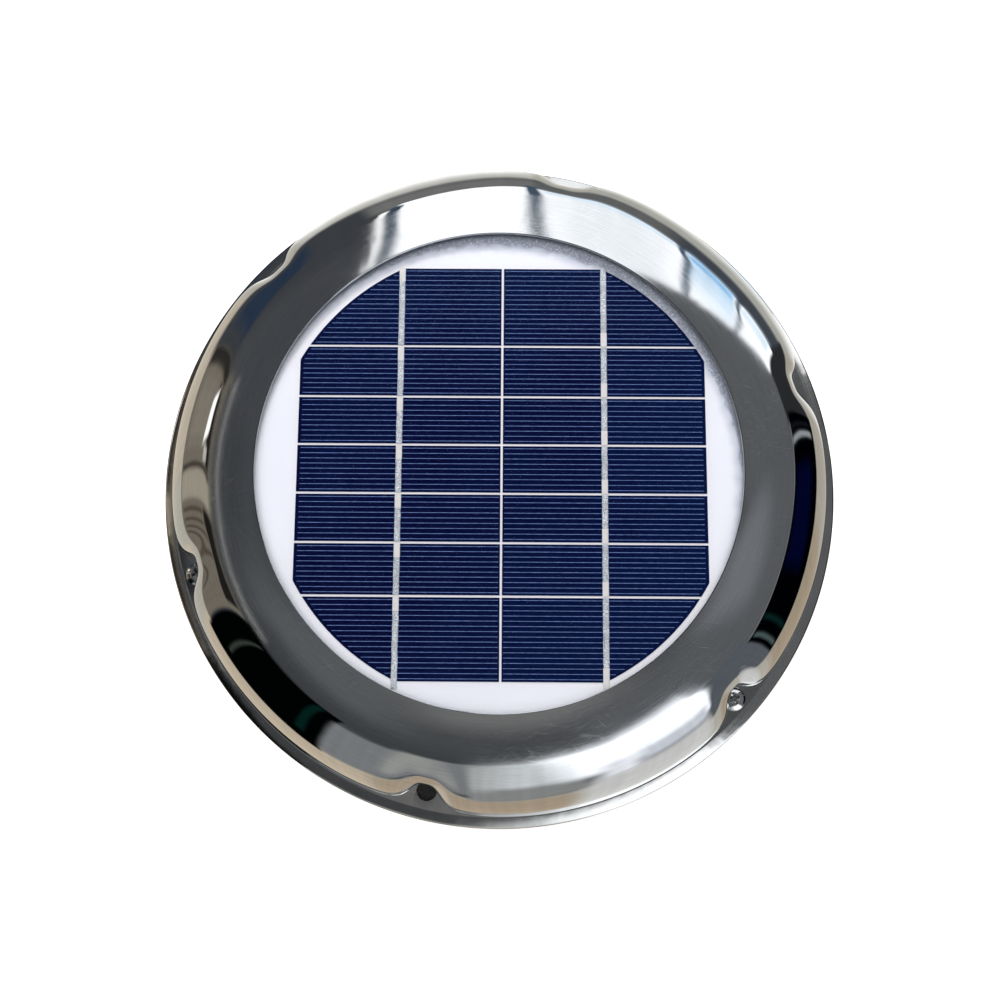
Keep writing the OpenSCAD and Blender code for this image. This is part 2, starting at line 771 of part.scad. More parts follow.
module motor_can() {
    color("lightgray")
        difference() {
            union() {
                translate([0, 0, CAN_LOW])
                    cylinder(r = CAN_R, h = motor_h, $fn = SIDES);
                translate([0, 0, CAN_LOW - COLLAR_H])
                    cylinder(r = BUSHING_R + COLLAR_T, h = COLLAR_H + CAN_T, $fn = THIN_SIDES);
            }
            translate([0, 0, CAN_LOW + CAN_T])
                cylinder(r = CAN_R - CAN_T, h = motor_h, $fn = SIDES);
            translate([0, 0, CAN_LOW - COLLAR_H - LAP])
                cylinder(r = BUSHING_R, h = COLLAR_H + CAN_T + 2 * LAP, $fn = THIN_SIDES);
            around(2, MOTOR_SCREW_PCR)
                translate([0, 0, CAN_LOW - LAP])
                    cylinder(r = MOTOR_SCREW_R, h = CAN_T + 2 * LAP, $fn = THIN_SIDES);
        }
}

module motor_end_cap() {
    color([0.95, 0.95, 0.92])
        difference() {
            union() {
                translate([0, 0, CAN_TOP])
                    cylinder(r = CAN_R, h = CAP_T, $fn = SIDES);
                ring(CAN_R - CAN_T - CAP_SKIRT_T, CAN_R - CAN_T, CAN_TOP - CAP_SKIRT, CAN_TOP);
            }
            translate([0, 0, CAN_TOP - LAP])
                cylinder(r = BUSHING_R, h = CAP_T + 2 * LAP, $fn = THIN_SIDES);
            for (x = [-TERMINAL_X, TERMINAL_X])
                translate([x - TERMINAL_T / 2, -TERMINAL_W / 2, CAN_TOP - LAP])
                    cube([TERMINAL_T, TERMINAL_W, CAP_T + 2 * LAP]);
        }
}

module motor_magnets() {
    color([0.2, 0.2, 0.22])
        for (turn = [0, 180])
            rotate(turn - MAGNET_ANGLE / 2)
                rotate_extrude(angle = MAGNET_ANGLE, $fn = SIDES)
                    translate([MAGNET_IN, CAN_LOW + CAN_T + MAGNET_LIFT])
                        square([CAN_R - CAN_T - MAGNET_IN, MAGNET_H]);
}

module bushing_front() {
    color("peru")
        ring(SHAFT_R + RUN_CLEAR, BUSHING_R, FRONT_LOW, FRONT_LOW + BUSHING_H, THIN_SIDES);
}

module bushing_rear() {
    color("peru")
        ring(SHAFT_R + RUN_CLEAR, BUSHING_R, REAR_LOW, REAR_LOW + BUSHING_H, THIN_SIDES);
}

// Brushes: a carbon block on each side of the commutator, on a leaf that reaches its terminal
module motor_brushes() {
    near = COMMUTATOR_R + BRUSH_GAP;
    color([0.25, 0.22, 0.2])
        for (turn = [0, 180])
            rotate(turn)
                translate([near, -BRUSH_W / 2, CAN_TOP - BRUSH_DROP])
                    cube([TERMINAL_X - TERMINAL_T / 2 - near, BRUSH_W, BRUSH_H]);
}

module motor_terminals() {
    color("gold")
        for (x = [-TERMINAL_X, TERMINAL_X])
            translate([x - TERMINAL_T / 2, -TERMINAL_W / 2, CAN_TOP - TERMINAL_DROP])
                cube([TERMINAL_T, TERMINAL_W, TERMINAL_DROP + CAP_T + TERMINAL_UP]);
}

module motor_screws() {
    color("silver")
        around(2, MOTOR_SCREW_PCR)
            translate([0, 0, ABS_DECK_TOP])
                mirror([0, 0, 1])
                    pan_screw(MOTOR_HEAD_R, MOTOR_HEAD_H, MOTOR_SCREW_R, BRACKET_T + CAN_T);
}

// ---- Motor, turning half ----

module motor_shaft() {
    color("silver")
        translate([0, 0, SHAFT_LOW])
            cylinder(r = SHAFT_R, h = SHAFT_TOP - SHAFT_LOW, $fn = THIN_SIDES);
}

// Core: hub, three arms and a curved shoe at the end of each
module armature_core() {
    color("slategray")
        difference() {
            union() {
                translate([0, 0, ARMATURE_LOW])
                    cylinder(r = CORE_HUB_R, h = ARMATURE_H, $fn = THIN_SIDES);
                around(POLES, CORE_HUB_R - LAP)
                    translate([0, -POLE_W / 2, ARMATURE_LOW])
                        cube([ARMATURE_R - POLE_SHOE_T / 2 - CORE_HUB_R + LAP, POLE_W, ARMATURE_H]);
                for (i = [0:POLES - 1])
                    rotate(i * 360 / POLES - POLE_SHOE_ANGLE / 2)
                        rotate_extrude(angle = POLE_SHOE_ANGLE, $fn = SIDES)
                            translate([ARMATURE_R - POLE_SHOE_T, ARMATURE_LOW])
                                square([POLE_SHOE_T, ARMATURE_H]);
            }
            translate([0, 0, ARMATURE_LOW - LAP])
                cylinder(r = SHAFT_R, h = ARMATURE_H + 2 * LAP, $fn = THIN_SIDES);
        }
}

// Coils: a closed frame of copper round each arm, between the hub and the shoe
module armature_windings() {
    color("chocolate")
        for (i = [0:POLES - 1])
            rotate(i * 360 / POLES)
                translate([COIL_START, 0, 0])
                    difference() {
                        translate([0, -COIL_W / 2, ARMATURE_LOW - COIL_OVER])
                            cube([COIL_RUN, COIL_W, ARMATURE_H + 2 * COIL_OVER]);
                        translate([-LAP, -POLE_W / 2, ARMATURE_LOW])
                            cube([COIL_RUN + 2 * LAP, POLE_W, ARMATURE_H]);
                    }
}

module commutator() {
    low = CAN_TOP - COMMUTATOR_DROP;
    color("orange")
        ring(SHAFT_R, COMMUTATOR_R, low, low + COMMUTATOR_H, THIN_SIDES);
}

module thrust_washers() {
    front = FRONT_LOW + BUSHING_H + THRUST_GAP;
    rear = REAR_LOW - THRUST_GAP - THRUST_T;
    color("white")
        for (low = [front, rear])
            ring(SHAFT_R, THRUST_R, low, low + THRUST_T, THIN_SIDES);
}

// ---- Fan wheel ----

module impeller_insert() {
    color("goldenrod")
        ring(SHAFT_R, INSERT_R, INSERT_LOW, INSERT_TOP, THIN_SIDES);
}

// A point of a blade: span and chord run from 0 to 1, side is 1 on the upper skin, -1 below
function blade_point(span, chord, side) =
    let (
        r = BLADE_ROOT + (fan_r - BLADE_ROOT) * span,
        width = BLADE_ROOT_CHORD + (BLADE_TIP_CHORD - BLADE_ROOT_CHORD) * span,
        pitch = BLADE_ROOT_PITCH + (BLADE_TIP_PITCH - BLADE_ROOT_PITCH) * span,
        along = (chord - 0.5) * width,
        turn = along * cos(pitch) / r * 180 / PI + BLADE_SWEEP * span * span,
        bulge = 4 * chord * (1 - chord),
        skin = side * BLADE_T / 2 * (BLADE_EDGE + (1 - BLADE_EDGE) * bulge)
    )
    [r * cos(turn), r * sin(turn), BLADE_MID_Z + along * sin(pitch) + BLADE_CAMBER * bulge + skin];

// One blade: two grids of points, joined round their edges
module blade() {
    across = BLADE_CHORDS + 1;
    sheet = across * (BLADE_SPANS + 1);
    function at(side, i, j) = side * sheet + i * across + j;
    points = [
        for (side = [1, -1], i = [0:BLADE_SPANS], j = [0:BLADE_CHORDS])
            blade_point(i / BLADE_SPANS, j / BLADE_CHORDS, side)
    ];
    skins = [
        for (i = [0:BLADE_SPANS - 1], j = [0:BLADE_CHORDS - 1])
            each [
                [at(0, i, j), at(0, i, j + 1), at(0, i + 1, j + 1)],
                [at(0, i, j), at(0, i + 1, j + 1), at(0, i + 1, j)],
                [at(1, i, j), at(1, i + 1, j + 1), at(1, i, j + 1)],
                [at(1, i, j), at(1, i + 1, j), at(1, i + 1, j + 1)]
            ]
    ];
    long_edges = [
        for (i = [0:BLADE_SPANS - 1])
            each [
                [at(0, i, 0), at(0, i + 1, 0), at(1, i + 1, 0)],
                [at(0, i, 0), at(1, i + 1, 0), at(1, i, 0)],
                [at(0, i, BLADE_CHORDS), at(1, i, BLADE_CHORDS), at(1, i + 1, BLADE_CHORDS)],
                [at(0, i, BLADE_CHORDS), at(1, i + 1, BLADE_CHORDS), at(0, i + 1, BLADE_CHORDS)]
            ]
    ];
    ends = [
        for (j = [0:BLADE_CHORDS - 1])
            each [
                [at(0, 0, j), at(1, 0, j), at(1, 0, j + 1)],
                [at(0, 0, j), at(1, 0, j + 1), at(0, 0, j + 1)],
                [at(0, BLADE_SPANS, j), at(0, BLADE_SPANS, j + 1), at(1, BLADE_SPANS, j + 1)],
                [at(0, BLADE_SPANS, j), at(1, BLADE_SPANS, j + 1), at(1, BLADE_SPANS, j)]
            ]
    ];
    polyhedron(points = points, faces = concat(skins, long_edges, ends));
}

module impeller() {
    floor_z = HUB_LOW + HUB_WALL;
    color([0.12, 0.12, 0.13])
        union() {
            rotate_extrude($fn = SIDES)
                polygon([
                    [0, HUB_LOW], for (p = HUB_NOSE) [HUB_R - p[0], HUB_LOW + p[1]],
                    [HUB_R, HUB_TOP], [HUB_R - HUB_WALL, HUB_TOP], [HUB_R - HUB_WALL, floor_z],
                    [HUB_BOSS_R, floor_z], [HUB_BOSS_R, INSERT_TOP], [INSERT_R, INSERT_TOP],
                    [INSERT_R, INSERT_LOW], [0, INSERT_LOW]
                ]);
            for (i = [0:blade_count - 1])
                rotate(i * 360 / blade_count)
                    blade();
        }
}

cover_shell();
panel_glazing();
solar_cells();
tabbing_ribbons();
panel_backsheet();
panel_gasket();
panel_tape();
panel_carrier();
junction_pad();
wire_red();
wire_black();
cover_studs();
cover_standoffs();
cover_washers();
cover_screws();
base_plate();
trim_screws();
duct_tube();
duct_base();
deck_gasket();
insect_screen();
screen_retainer();
motor_bracket();
bracket_screws();
motor_sleeve();
motor_can();
motor_end_cap();
motor_magnets();
bushing_front();
bushing_rear();
motor_brushes();
motor_terminals();
motor_screws();
motor_shaft();
armature_core();
armature_windings();
commutator();
thrust_washers();
impeller_insert();
impeller();
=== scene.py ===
import json
import math

import bmesh
import bpy
import numpy as np
from mathutils import Matrix, Vector, noise


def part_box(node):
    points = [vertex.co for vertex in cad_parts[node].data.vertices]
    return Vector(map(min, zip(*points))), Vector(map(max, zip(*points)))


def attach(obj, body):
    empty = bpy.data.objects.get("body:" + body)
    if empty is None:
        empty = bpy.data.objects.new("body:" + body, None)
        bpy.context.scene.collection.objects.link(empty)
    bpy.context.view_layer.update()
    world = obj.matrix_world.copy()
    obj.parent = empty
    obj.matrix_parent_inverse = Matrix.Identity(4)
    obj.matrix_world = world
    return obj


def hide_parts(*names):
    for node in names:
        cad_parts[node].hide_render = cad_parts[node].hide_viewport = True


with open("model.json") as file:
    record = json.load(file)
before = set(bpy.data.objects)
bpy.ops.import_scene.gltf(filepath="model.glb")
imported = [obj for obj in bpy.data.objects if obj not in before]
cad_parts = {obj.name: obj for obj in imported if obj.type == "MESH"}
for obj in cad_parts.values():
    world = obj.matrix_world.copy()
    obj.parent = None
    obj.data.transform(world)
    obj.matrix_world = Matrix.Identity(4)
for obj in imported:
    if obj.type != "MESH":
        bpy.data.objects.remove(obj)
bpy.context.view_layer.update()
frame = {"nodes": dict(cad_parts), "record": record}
NODES = frame["nodes"]
HOUSING, ROTOR = "housing", "rotor"

# ---- Measures, in millimetres and degrees: the CAD source's, and the few that only the looks have ----

MM = 0.001
FLANGE_R, FLANGE_Z, SHEET = 107.5, 3.2, 0.8
DENT_START, DENTS, FIXINGS, SECTOR = 17.3, 6, 3, 60.0
ROOF_HOLE_R, ROOF_PCR, TRIM_PCR = 3.15, 98.5, 99.7
TRIM_HOLE_R, STANDOFF_HOLE_R, STANDOFF_PCR = 1.85, 2.2, 81
WINDOW_R, COVER_Z, RING_R, RING_Z = 73.4, 33.0, 88.0, 30.4
LIP_DROP, LIP_ROUND = 1.6, 0.35
SKIRT_R, SKIRT_Z, SKIRT_TOP, DENT_TOP = 102.9, 6.0, 9.7, 19.7
DENT_DEPTH, DENT_LOW, DENT_HIGH, BELL_POWER = 6.7, 3.0, 4.8, 3.4
DECK_Z, DECK_INNER = 8.2, 64.5
FOOT_OUT, FOOT_EXTRA, FOOT_WIDTH = 1.3, 2.6, 2.9
COAMING_TOP_R, COAMING_TOP_DENT = 95.2, 4.2
# Only the looks: the flange's slope, the ring's crown, and the shoulder's fullness and wider dents
FALL_START, FLANGE_FALL = 104.1, 0.85
RING_CROWN, DENT_SPREAD = 0.4, 6.2
PLAIN_POWER, DENT_POWER, PILLOW = 1.8, 1.85, 0.08
RING_SLOPE = (COVER_Z - RING_Z) / (RING_R - WINDOW_R)
SHOULDER_SLOPE = RING_SLOPE + 4 * RING_CROWN / (RING_R - WINDOW_R)
ARRAY_X, ARRAY_Y, ARRAY_W, ARRAY_TRIM, CELL_GAP = 0.8, -0.6, 62.2, 70.6, 0.7
ROW_LINES = [7.5, 22.5, 38.5, 63.9]
ROWS = [(-b, -a) for a, b in zip(ROW_LINES[::-1][1:], ROW_LINES[::-1])]
ROWS += [(-ROW_LINES[0], ROW_LINES[0])] + list(zip(ROW_LINES, ROW_LINES[1:]))
CELL_TOP = 29.80
RIBBON_W, RIBBON_TAIL = 1.8, 1.8
BLADES, FAN_R, BLADE_ROOT, HUB_R = 7, 53.0, 10.9, 12.0
DUCT_R, SPIGOT_DEPTH = 55.0, 26.0
SCREEN_Z, SCREEN_T = -20.0, 0.6

# ---- Mesh helpers ----


def grid_faces(n, m, wrap_n=False, wrap_m=False):
    """Quads of a grid in which point (i, j) is number i * m + j."""
    i, j = np.meshgrid(
        np.arange(n if wrap_n else n - 1), np.arange(m if wrap_m else m - 1), indexing="ij"
    )
    i2, j2 = (i + 1) % n, (j + 1) % m
    quads = np.stack([i * m + j, i * m + j2, i2 * m + j2, i2 * m + j], axis=-1)
    return quads.reshape(-1, 4).tolist()


def make_mesh(name, points, faces, sharp=35):
    """A mesh in metres from points in millimetres, faces outward, smooth up to the sharp angle."""
    mesh = bpy.data.meshes.new(name)
    mesh.from_pydata((np.asarray(points, float) * MM).tolist(), [], faces)
    work = bmesh.new()
    work.from_mesh(mesh)
    bmesh.ops.recalc_face_normals(work, faces=work.faces)
    work.to_mesh(mesh)
    work.free()
    mesh.shade_smooth()
    mesh.set_sharp_from_angle(angle=math.radians(sharp))
    return mesh


def make_piece(name, mesh, material, body, slot, *replaced):
    """Puts a mesh in the scene, on a body, in the place of the CAD nodes named last."""
    piece = bpy.data.objects.new(name, mesh)
    bpy.context.scene.collection.objects.link(piece)
    mesh.materials.clear()
    mesh.materials.append(material)
    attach(piece, body)
    if replaced:
        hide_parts(*replaced)
    return piece


def cut(mesh, cutter, sharp=35):
    """The mesh with the cutter's volume taken out of it."""
    objects = [bpy.data.objects.new("cut_" + m.name, m) for m in (mesh, cutter)]
    for o in objects:
        bpy.context.scene.collection.objects.link(o)
    boolean = objects[0].modifiers.new("cut", "BOOLEAN")
    boolean.object, boolean.operation, boolean.solver = objects[1], "DIFFERENCE", "EXACT"
    made = bpy.data.meshes.new_from_object(
        objects[0].evaluated_get(bpy.context.evaluated_depsgraph_get())
    )
    name = mesh.name
    for o in objects:
        bpy.data.objects.remove(o)
    for m in (mesh, cutter):
        bpy.data.meshes.remove(m)
    made.name = name
    made.shade_smooth()
    made.set_sharp_from_angle(angle=math.radians(sharp))
    return made


def join(parts):
    """Points and faces of several (points, faces) shapes as one."""
    points, faces = [], []
    for p, f in parts:
        start = len(points)
        points += [tuple(q) for q in p]
        faces += [[v + start for v in face] for face in f]
    return points, faces


def rounded(path, cuts, steps=6):
    """A polyline whose inner corners are curves that start and end the cut's length from the corner."""
    path = [np.array(p, float) for p in path]
    made = [path[0]]
    for k, reach in enumerate(cuts, 1):
        before, corner, after = path[k - 1 : k + 2]
        a = corner + (before - corner) / np.linalg.norm(before - corner) * reach
        b = corner + (after - corner) / np.linalg.norm(after - corner) * reach
        for s in np.linspace(0, 1, steps + 1):
            made.append((1 - s) ** 2 * a + 2 * s * (1 - s) * corner + s * s * b)
    return np.array(made + [path[-1]])


def spread(path, count):
    """Points between the ends of a straight run, without the ends."""
    a, b = (np.array(p, float) for p in path)
    return [a + (b - a) * s for s in np.linspace(0, 1, count + 2)[1:-1]]


def lathe(outline, sides=64, centre=(0, 0, 0)):
    """A closed solid of revolution, from an outline of (radius, height) with both ends on the axis."""
    inner = outline[1:-1]
    turns = np.arange(sides) * 2 * math.pi / sides
    points = [
        (centre[0] + r * math.cos(t), centre[1] + r * math.sin(t), centre[2] + z)
        for t in turns
        for r, z in inner
    ]
    m = len(inner)
    faces = grid_faces(sides, m, wrap_n=True)
    low, high = len(points), len(points) + 1
    points += [(centre[0], centre[1], centre[2] + outline[k][1]) for k in (0, -1)]
    for i in range(sides):
        j = (i + 1) % sides
        faces.append([low, i * m, j * m])
        faces.append([high, j * m + m - 1, i * m + m - 1])
    return points, faces


def tube(sections):
    """A closed solid through a row of equal closed sections, with flat ends."""
    n, m = len(sections), len(sections[0])
    points = [tuple(p) for section in sections for p in section]
    faces = grid_faces(n, m, wrap_m=True)
    faces.append(list(range(m))[::-1])
    faces.append([(n - 1) * m + k for k in range(m)])
    return points, faces


# ---- Materials ----


class Finish:
    """A material with a Principled shader, and short names for the nodes that the finishes share."""

    def __init__(self, name, colour, rough, metal=0.0, **sockets):
        self.material = bpy.data.materials.new(name)
        self.material.use_nodes = True
        self.tree = self.material.node_tree
        self.tree.nodes.clear()
        self.out = self.node("ShaderNodeOutputMaterial")
        self.bsdf = self.node("ShaderNodeBsdfPrincipled")
        self.tree.links.new(self.bsdf.outputs[0], self.out.inputs["Surface"])
        self.coords = self.node("ShaderNodeTexCoord").outputs["Object"]
        self.bsdf.inputs["Base Color"].default_value = (*colour, 1)
        self.bsdf.inputs["Roughness"].default_value = rough
        self.bsdf.inputs["Metallic"].default_value = metal
        for socket, value in sockets.items():
            self.bsdf.inputs[socket.replace("_", " ")].default_value = value

    def node(self, kind, **settings):
        made = self.tree.nodes.new(kind)
        for key, value in settings.items():
            setattr(made, key, value)
        return made

    def feed(self, socket, value):
        if isinstance(value, bpy.types.NodeSocket):
            self.tree.links.new(value, socket)
        else:
            socket.default_value = value

    def math(self, operation, *values):
        made = self.node("ShaderNodeMath", operation=operation)
        for socket, value in zip(made.inputs, values):
            self.feed(socket, value)
        return made.outputs[0]

    def vector(self, operation, a, b=None, scale=None):
        made = self.node("ShaderNodeVectorMath", operation=operation)
        self.feed(made.inputs[0], a)
        if b is not None:
            self.feed(made.inputs[1], b)
        if scale is not None:
            self.feed(made.inputs["Scale"], scale)
        return made.outputs["Value" if operation == "LENGTH" else "Vector"]

    def placed(self, scale=(1, 1, 1), turn=(0, 0, 0), vector=None):
        made = self.node("ShaderNodeMapping")
        self.feed(made.inputs["Vector"], vector or self.coords)
        made.inputs["Scale"].default_value = scale
        made.inputs["Rotation"].default_value = [math.radians(t) for t in turn]
        return made.outputs[0]

    def noise(self, scale, detail=2.0, rough=0.5, vector=None, distortion=0.0):
        made = self.node("ShaderNodeTexNoise")
        self.feed(made.inputs["Vector"], vector or self.coords)
        made.inputs["Scale"].default_value = scale
        made.inputs["Detail"].default_value = detail
        made.inputs["Roughness"].default_value = rough
        made.inputs["Distortion"].default_value = distortion
        return made.outputs["Fac"]

    def cells(self, scale):
        made = self.node("ShaderNodeTexVoronoi", feature="F1")
        self.feed(made.inputs["Vector"], self.coords)
        made.inputs["Scale"].default_value = scale
        return made.outputs["Distance"]

    def span(self, value, low, high, out_low=0.0, out_high=1.0):
        """value from low to high as out_low to out_high, held at the ends."""
        made = self.node("ShaderNodeMapRange", interpolation_type="SMOOTHSTEP")
        self.feed(made.inputs["Value"], value)
        for key, number in zip(("From Min", "From Max", "To Min", "To Max"), (low, high, out_low, out_high)):
            self.feed(made.inputs[key], number)
        return made.outputs["Result"]

    def blend(self, share, a, b):
        made = self.node("ShaderNodeMix", data_type="RGBA", blend_type="MIX")
        self.feed(made.inputs["Factor"], share)
        for index, colour in ((6, a), (7, b)):
            self.feed(made.inputs[index], (*colour, 1) if isinstance(colour, tuple) else colour)
        return made.outputs[2]

    def colour(self, value):
        self.feed(self.bsdf.inputs["Base Color"], value)

    def rough(self, value):
        self.feed(self.bsdf.inputs["Roughness"], value)

    def bump(self, height, distance, strength=1.0, under=None):
        """Adds a bump of a height in metres, over an earlier one if given."""
        made = self.node("ShaderNodeBump")
        made.inputs["Strength"].default_value = strength
        made.inputs["Distance"].default_value = distance
        self.feed(made.inputs["Height"], height)
        if under is not None:
            self.feed(made.inputs["Normal"], under)
        self.feed(self.bsdf.inputs["Normal"], made.outputs[0])
        return made.outputs[0]

    def radius(self):
        """Distance from the fan axis, in millimetres."""
        flat = self.vector("MULTIPLY", self.coords, (1000.0, 1000.0, 0.0))
        return self.vector("LENGTH", flat)

    def ring_coords(self, along, across):
        """Coordinates for marks that run round the axis: along and across are marks per millimetre,
        and along holds near a radius of 90."""
        flat = self.vector("MULTIPLY", self.coords, (1000.0, 1000.0, 0.0))
        round_it = self.vector("SCALE", self.vector("NORMALIZE", flat), scale=90.0 * along)
        out = self.node("ShaderNodeCombineXYZ")
        self.feed(out.inputs["Z"], self.math("MULTIPLY", self.vector("LENGTH", flat), across))
        return self.vector("ADD", round_it, out.outputs[0])


def steel_cover():
    """Pressed stainless sheet: a ring polished round the axis, and a mirror shoulder with a slight wave."""
    f = Finish("stainless_cover", (0.62, 0.618, 0.61), 0.1, 1.0, Anisotropic=0.7, Anisotropic_Rotation=0.25)
    round_axis = f.node("ShaderNodeTangent", direction_type="RADIAL", axis="Z")
    f.feed(f.bsdf.inputs["Tangent"], round_axis.outputs[0])
    radius = f.radius()
    shoulder_share = f.span(radius, 87.2, 88.8)
    ring_share = f.math("SUBTRACT", 1.0, shoulder_share)
    brush = f.noise(1.0, 3.0, 0.65, f.ring_coords(0.10, 6.0))
    scratch = None
    for turn, scale in ((50, 1.0), (-48, 0.8), (71, 1.3), (98, 0.6)):
        turned = f.placed(turn=(0, 0, turn))
        lines = f.noise(1.0, 1.0, 0.4, f.placed((9000 * scale, 110 * scale, 600), vector=turned), 0.3)
        thin = f.span(lines, 0.69, 0.76)
        scratch = thin if scratch is None else f.math("MAXIMUM", scratch, thin)
    worn = f.span(f.noise(28.0, 2.0), 0.42, 0.62)
    scratch = f.math("MULTIPLY", f.math("MULTIPLY", scratch, worn), ring_share)
    tone = f.blend(f.span(brush, 0.3, 0.7), (0.565, 0.57, 0.575), (0.64, 0.645, 0.65))
    steel = f.blend(f.math("MULTIPLY", scratch, 0.7), tone, (0.90, 0.90, 0.90))
    # Painted shade: a near-black band low on the inside of the window's lip stands in for the shade of the
    # rolled lip
    height = f.node("ShaderNodeSeparateXYZ")
    f.feed(height.inputs[0], f.coords)
    low = f.span(height.outputs["Z"], 0.0318, 0.0326, 1.0, 0.0)
    painted_lip_shade = f.math("MULTIPLY", low, f.span(radius, WINDOW_R + 0.15, WINDOW_R + 0.3, 0.9, 0.0))
    f.colour(f.blend(painted_lip_shade, steel, (0.05, 0.05, 0.055)))
    ring_rough = f.math("ADD", f.span(brush, 0.25, 0.75, 0.06, 0.10), f.math("MULTIPLY", scratch, 0.10))
    shoulder_rough = f.span(f.noise(55.0, 3.0, 0.6), 0.4, 0.75, 0.02, 0.05)
    ring_part = f.math("MULTIPLY", ring_rough, ring_share)
    f.rough(f.math("ADD", ring_part, f.math("MULTIPLY", shoulder_rough, shoulder_share)))
    first = f.bump(f.math("MULTIPLY", brush, ring_share), 0.00002, 0.12)
    wave = f.noise(60.0, 2.0, 0.5, distortion=0.5)
    f.bump(wave, 0.0006, 0.06, first)
    return f.material


def steel_base():
    """The flange: bright rolled sheet with a soft grain and handling marks."""
    f = Finish("stainless_base", (0.60, 0.59, 0.575), 0.1, 1.0)
    grain = f.noise(1.0, 3.0, 0.6, f.ring_coords(0.12, 3.5))
    smear = f.noise(60.0, 3.0, 0.6)
    f.colour(f.blend(f.span(smear, 0.35, 0.7), (0.57, 0.565, 0.55), (0.65, 0.64, 0.625)))
    f.rough(f.span(grain, 0.25, 0.75, 0.07, 0.14))
    first = f.bump(grain, 0.00002, 0.1)
    f.bump(f.noise(110.0, 2.0), 0.0005, 0.16, first)
    return f.material


def metal(name, colour, rough, grain=400.0, spread_share=0.12, bump=0.15):
    """Plain metal with a fine grain in tone, gloss and surface."""
    f = Finish(name, colour, rough, 1.0)
    fine = f.noise(grain * 5, 3.0, 0.6)
    wide = f.noise(grain, 2.0)
    dark = tuple(c * (1 - spread_share * 2) for c in colour)
    f.colour(f.blend(f.span(wide, 0.3, 0.7), dark, colour))
    f.rough(f.span(fine, 0.3, 0.7, rough * 0.75, min(rough * 1.35, 1)))
    f.bump(fine, 0.00005, bump)
    return f.material


def plastic(name, colour, rough, grain=1800.0, depth=0.00004):
    """Moulded plastic with a fine spark texture and slow shifts of tone."""
    f = Finish(name, colour, rough)
    texture = f.noise(grain, 3.0, 0.6)
    wide = f.noise(40.0, 3.0)
    dark = tuple(c * 0.88 for c in colour)
    f.colour(f.blend(f.span(wide, 0.3, 0.7), dark, colour))
    f.rough(f.span(texture, 0.3, 0.7, rough * 0.85, min(rough * 1.2, 1)))
    f.bump(texture, depth, 0.5)
    return f.material


def foam(name, colour):
    """Closed-cell foam: small pits and a dull skin."""
    f = Finish(name, colour, 0.9)
    pits = f.cells(1500.0)
    light = tuple(min(c * 1.6 + 0.01, 1) for c in colour)
    f.colour(f.blend(f.span(pits, 0.1, 0.6), colour, light))
    f.bump(pits, 0.0003, 0.6)
    return f.material


def cell_silicon():
    """Solar cell: deep blue with slow shifts between the strips and a faint grain."""
    f = Finish("solar_cell", (0.0003, 0.003, 0.03), 0.3, 0.0, Specular_IOR_Level=0.06)
    wide = f.noise(1.0, 3.0, 0.55, f.placed((26, 9, 10)))
    grain = f.noise(900.0, 2.0, 0.6)
    deep = f.blend(f.span(wide, 0.3, 0.72), (0.0002, 0.0018, 0.030), (0.0002, 0.0058, 0.044))
    f.colour(f.blend(f.span(grain, 0.45, 0.8, 0.0, 0.3), deep, (0.001, 0.006, 0.055)))
    f.rough(f.span(grain, 0.3, 0.7, 0.30, 0.44))
    f.bump(grain, 0.00003, 0.3)
    return f.material


def glazing():
    """Clear textured laminate: it lets everything through but a thin rippled gloss."""
    f = Finish("glazing", (1, 1, 1), 0.1)
    pebbles = f.noise(2600.0, 2.0, 0.6)
    bump = f.node("ShaderNodeBump")
    bump.inputs["Strength"].default_value = 0.35
    bump.inputs["Distance"].default_value = 0.00006
    f.feed(bump.inputs["Height"], pebbles)
    gloss = f.node("ShaderNodeBsdfGlossy")
    gloss.inputs["Roughness"].default_value = 0.16
    gloss.inputs["Color"].default_value = (0.55, 0.8, 0.95, 1)
    f.feed(gloss.inputs["Normal"], bump.outputs[0])
    clear = f.node("ShaderNodeBsdfTransparent")
    clear.inputs["Color"].default_value = (0.985, 0.98, 0.985, 1)
    edge = f.node("ShaderNodeFresnel")
    edge.inputs["IOR"].default_value = 1.22
    mix = f.node("ShaderNodeMixShader")
    f.feed(mix.inputs[0], edge.outputs[0])
    f.feed(mix.inputs[1], clear.outputs[0])
    f.feed(mix.inputs[2], gloss.outputs[0])
    f.feed(f.out.inputs["Surface"], mix.outputs[0])
    f.tree.nodes.remove(f.bsdf)
    return f.material


# Centre shift, radius and fade width of the painted shadow of the cover's lip on the board
LIP_SHADE_SHIFT, LIP_SHADE_R, LIP_SHADE_FADE = (2.3, 4.6, 0.0), 75.4, 3.2


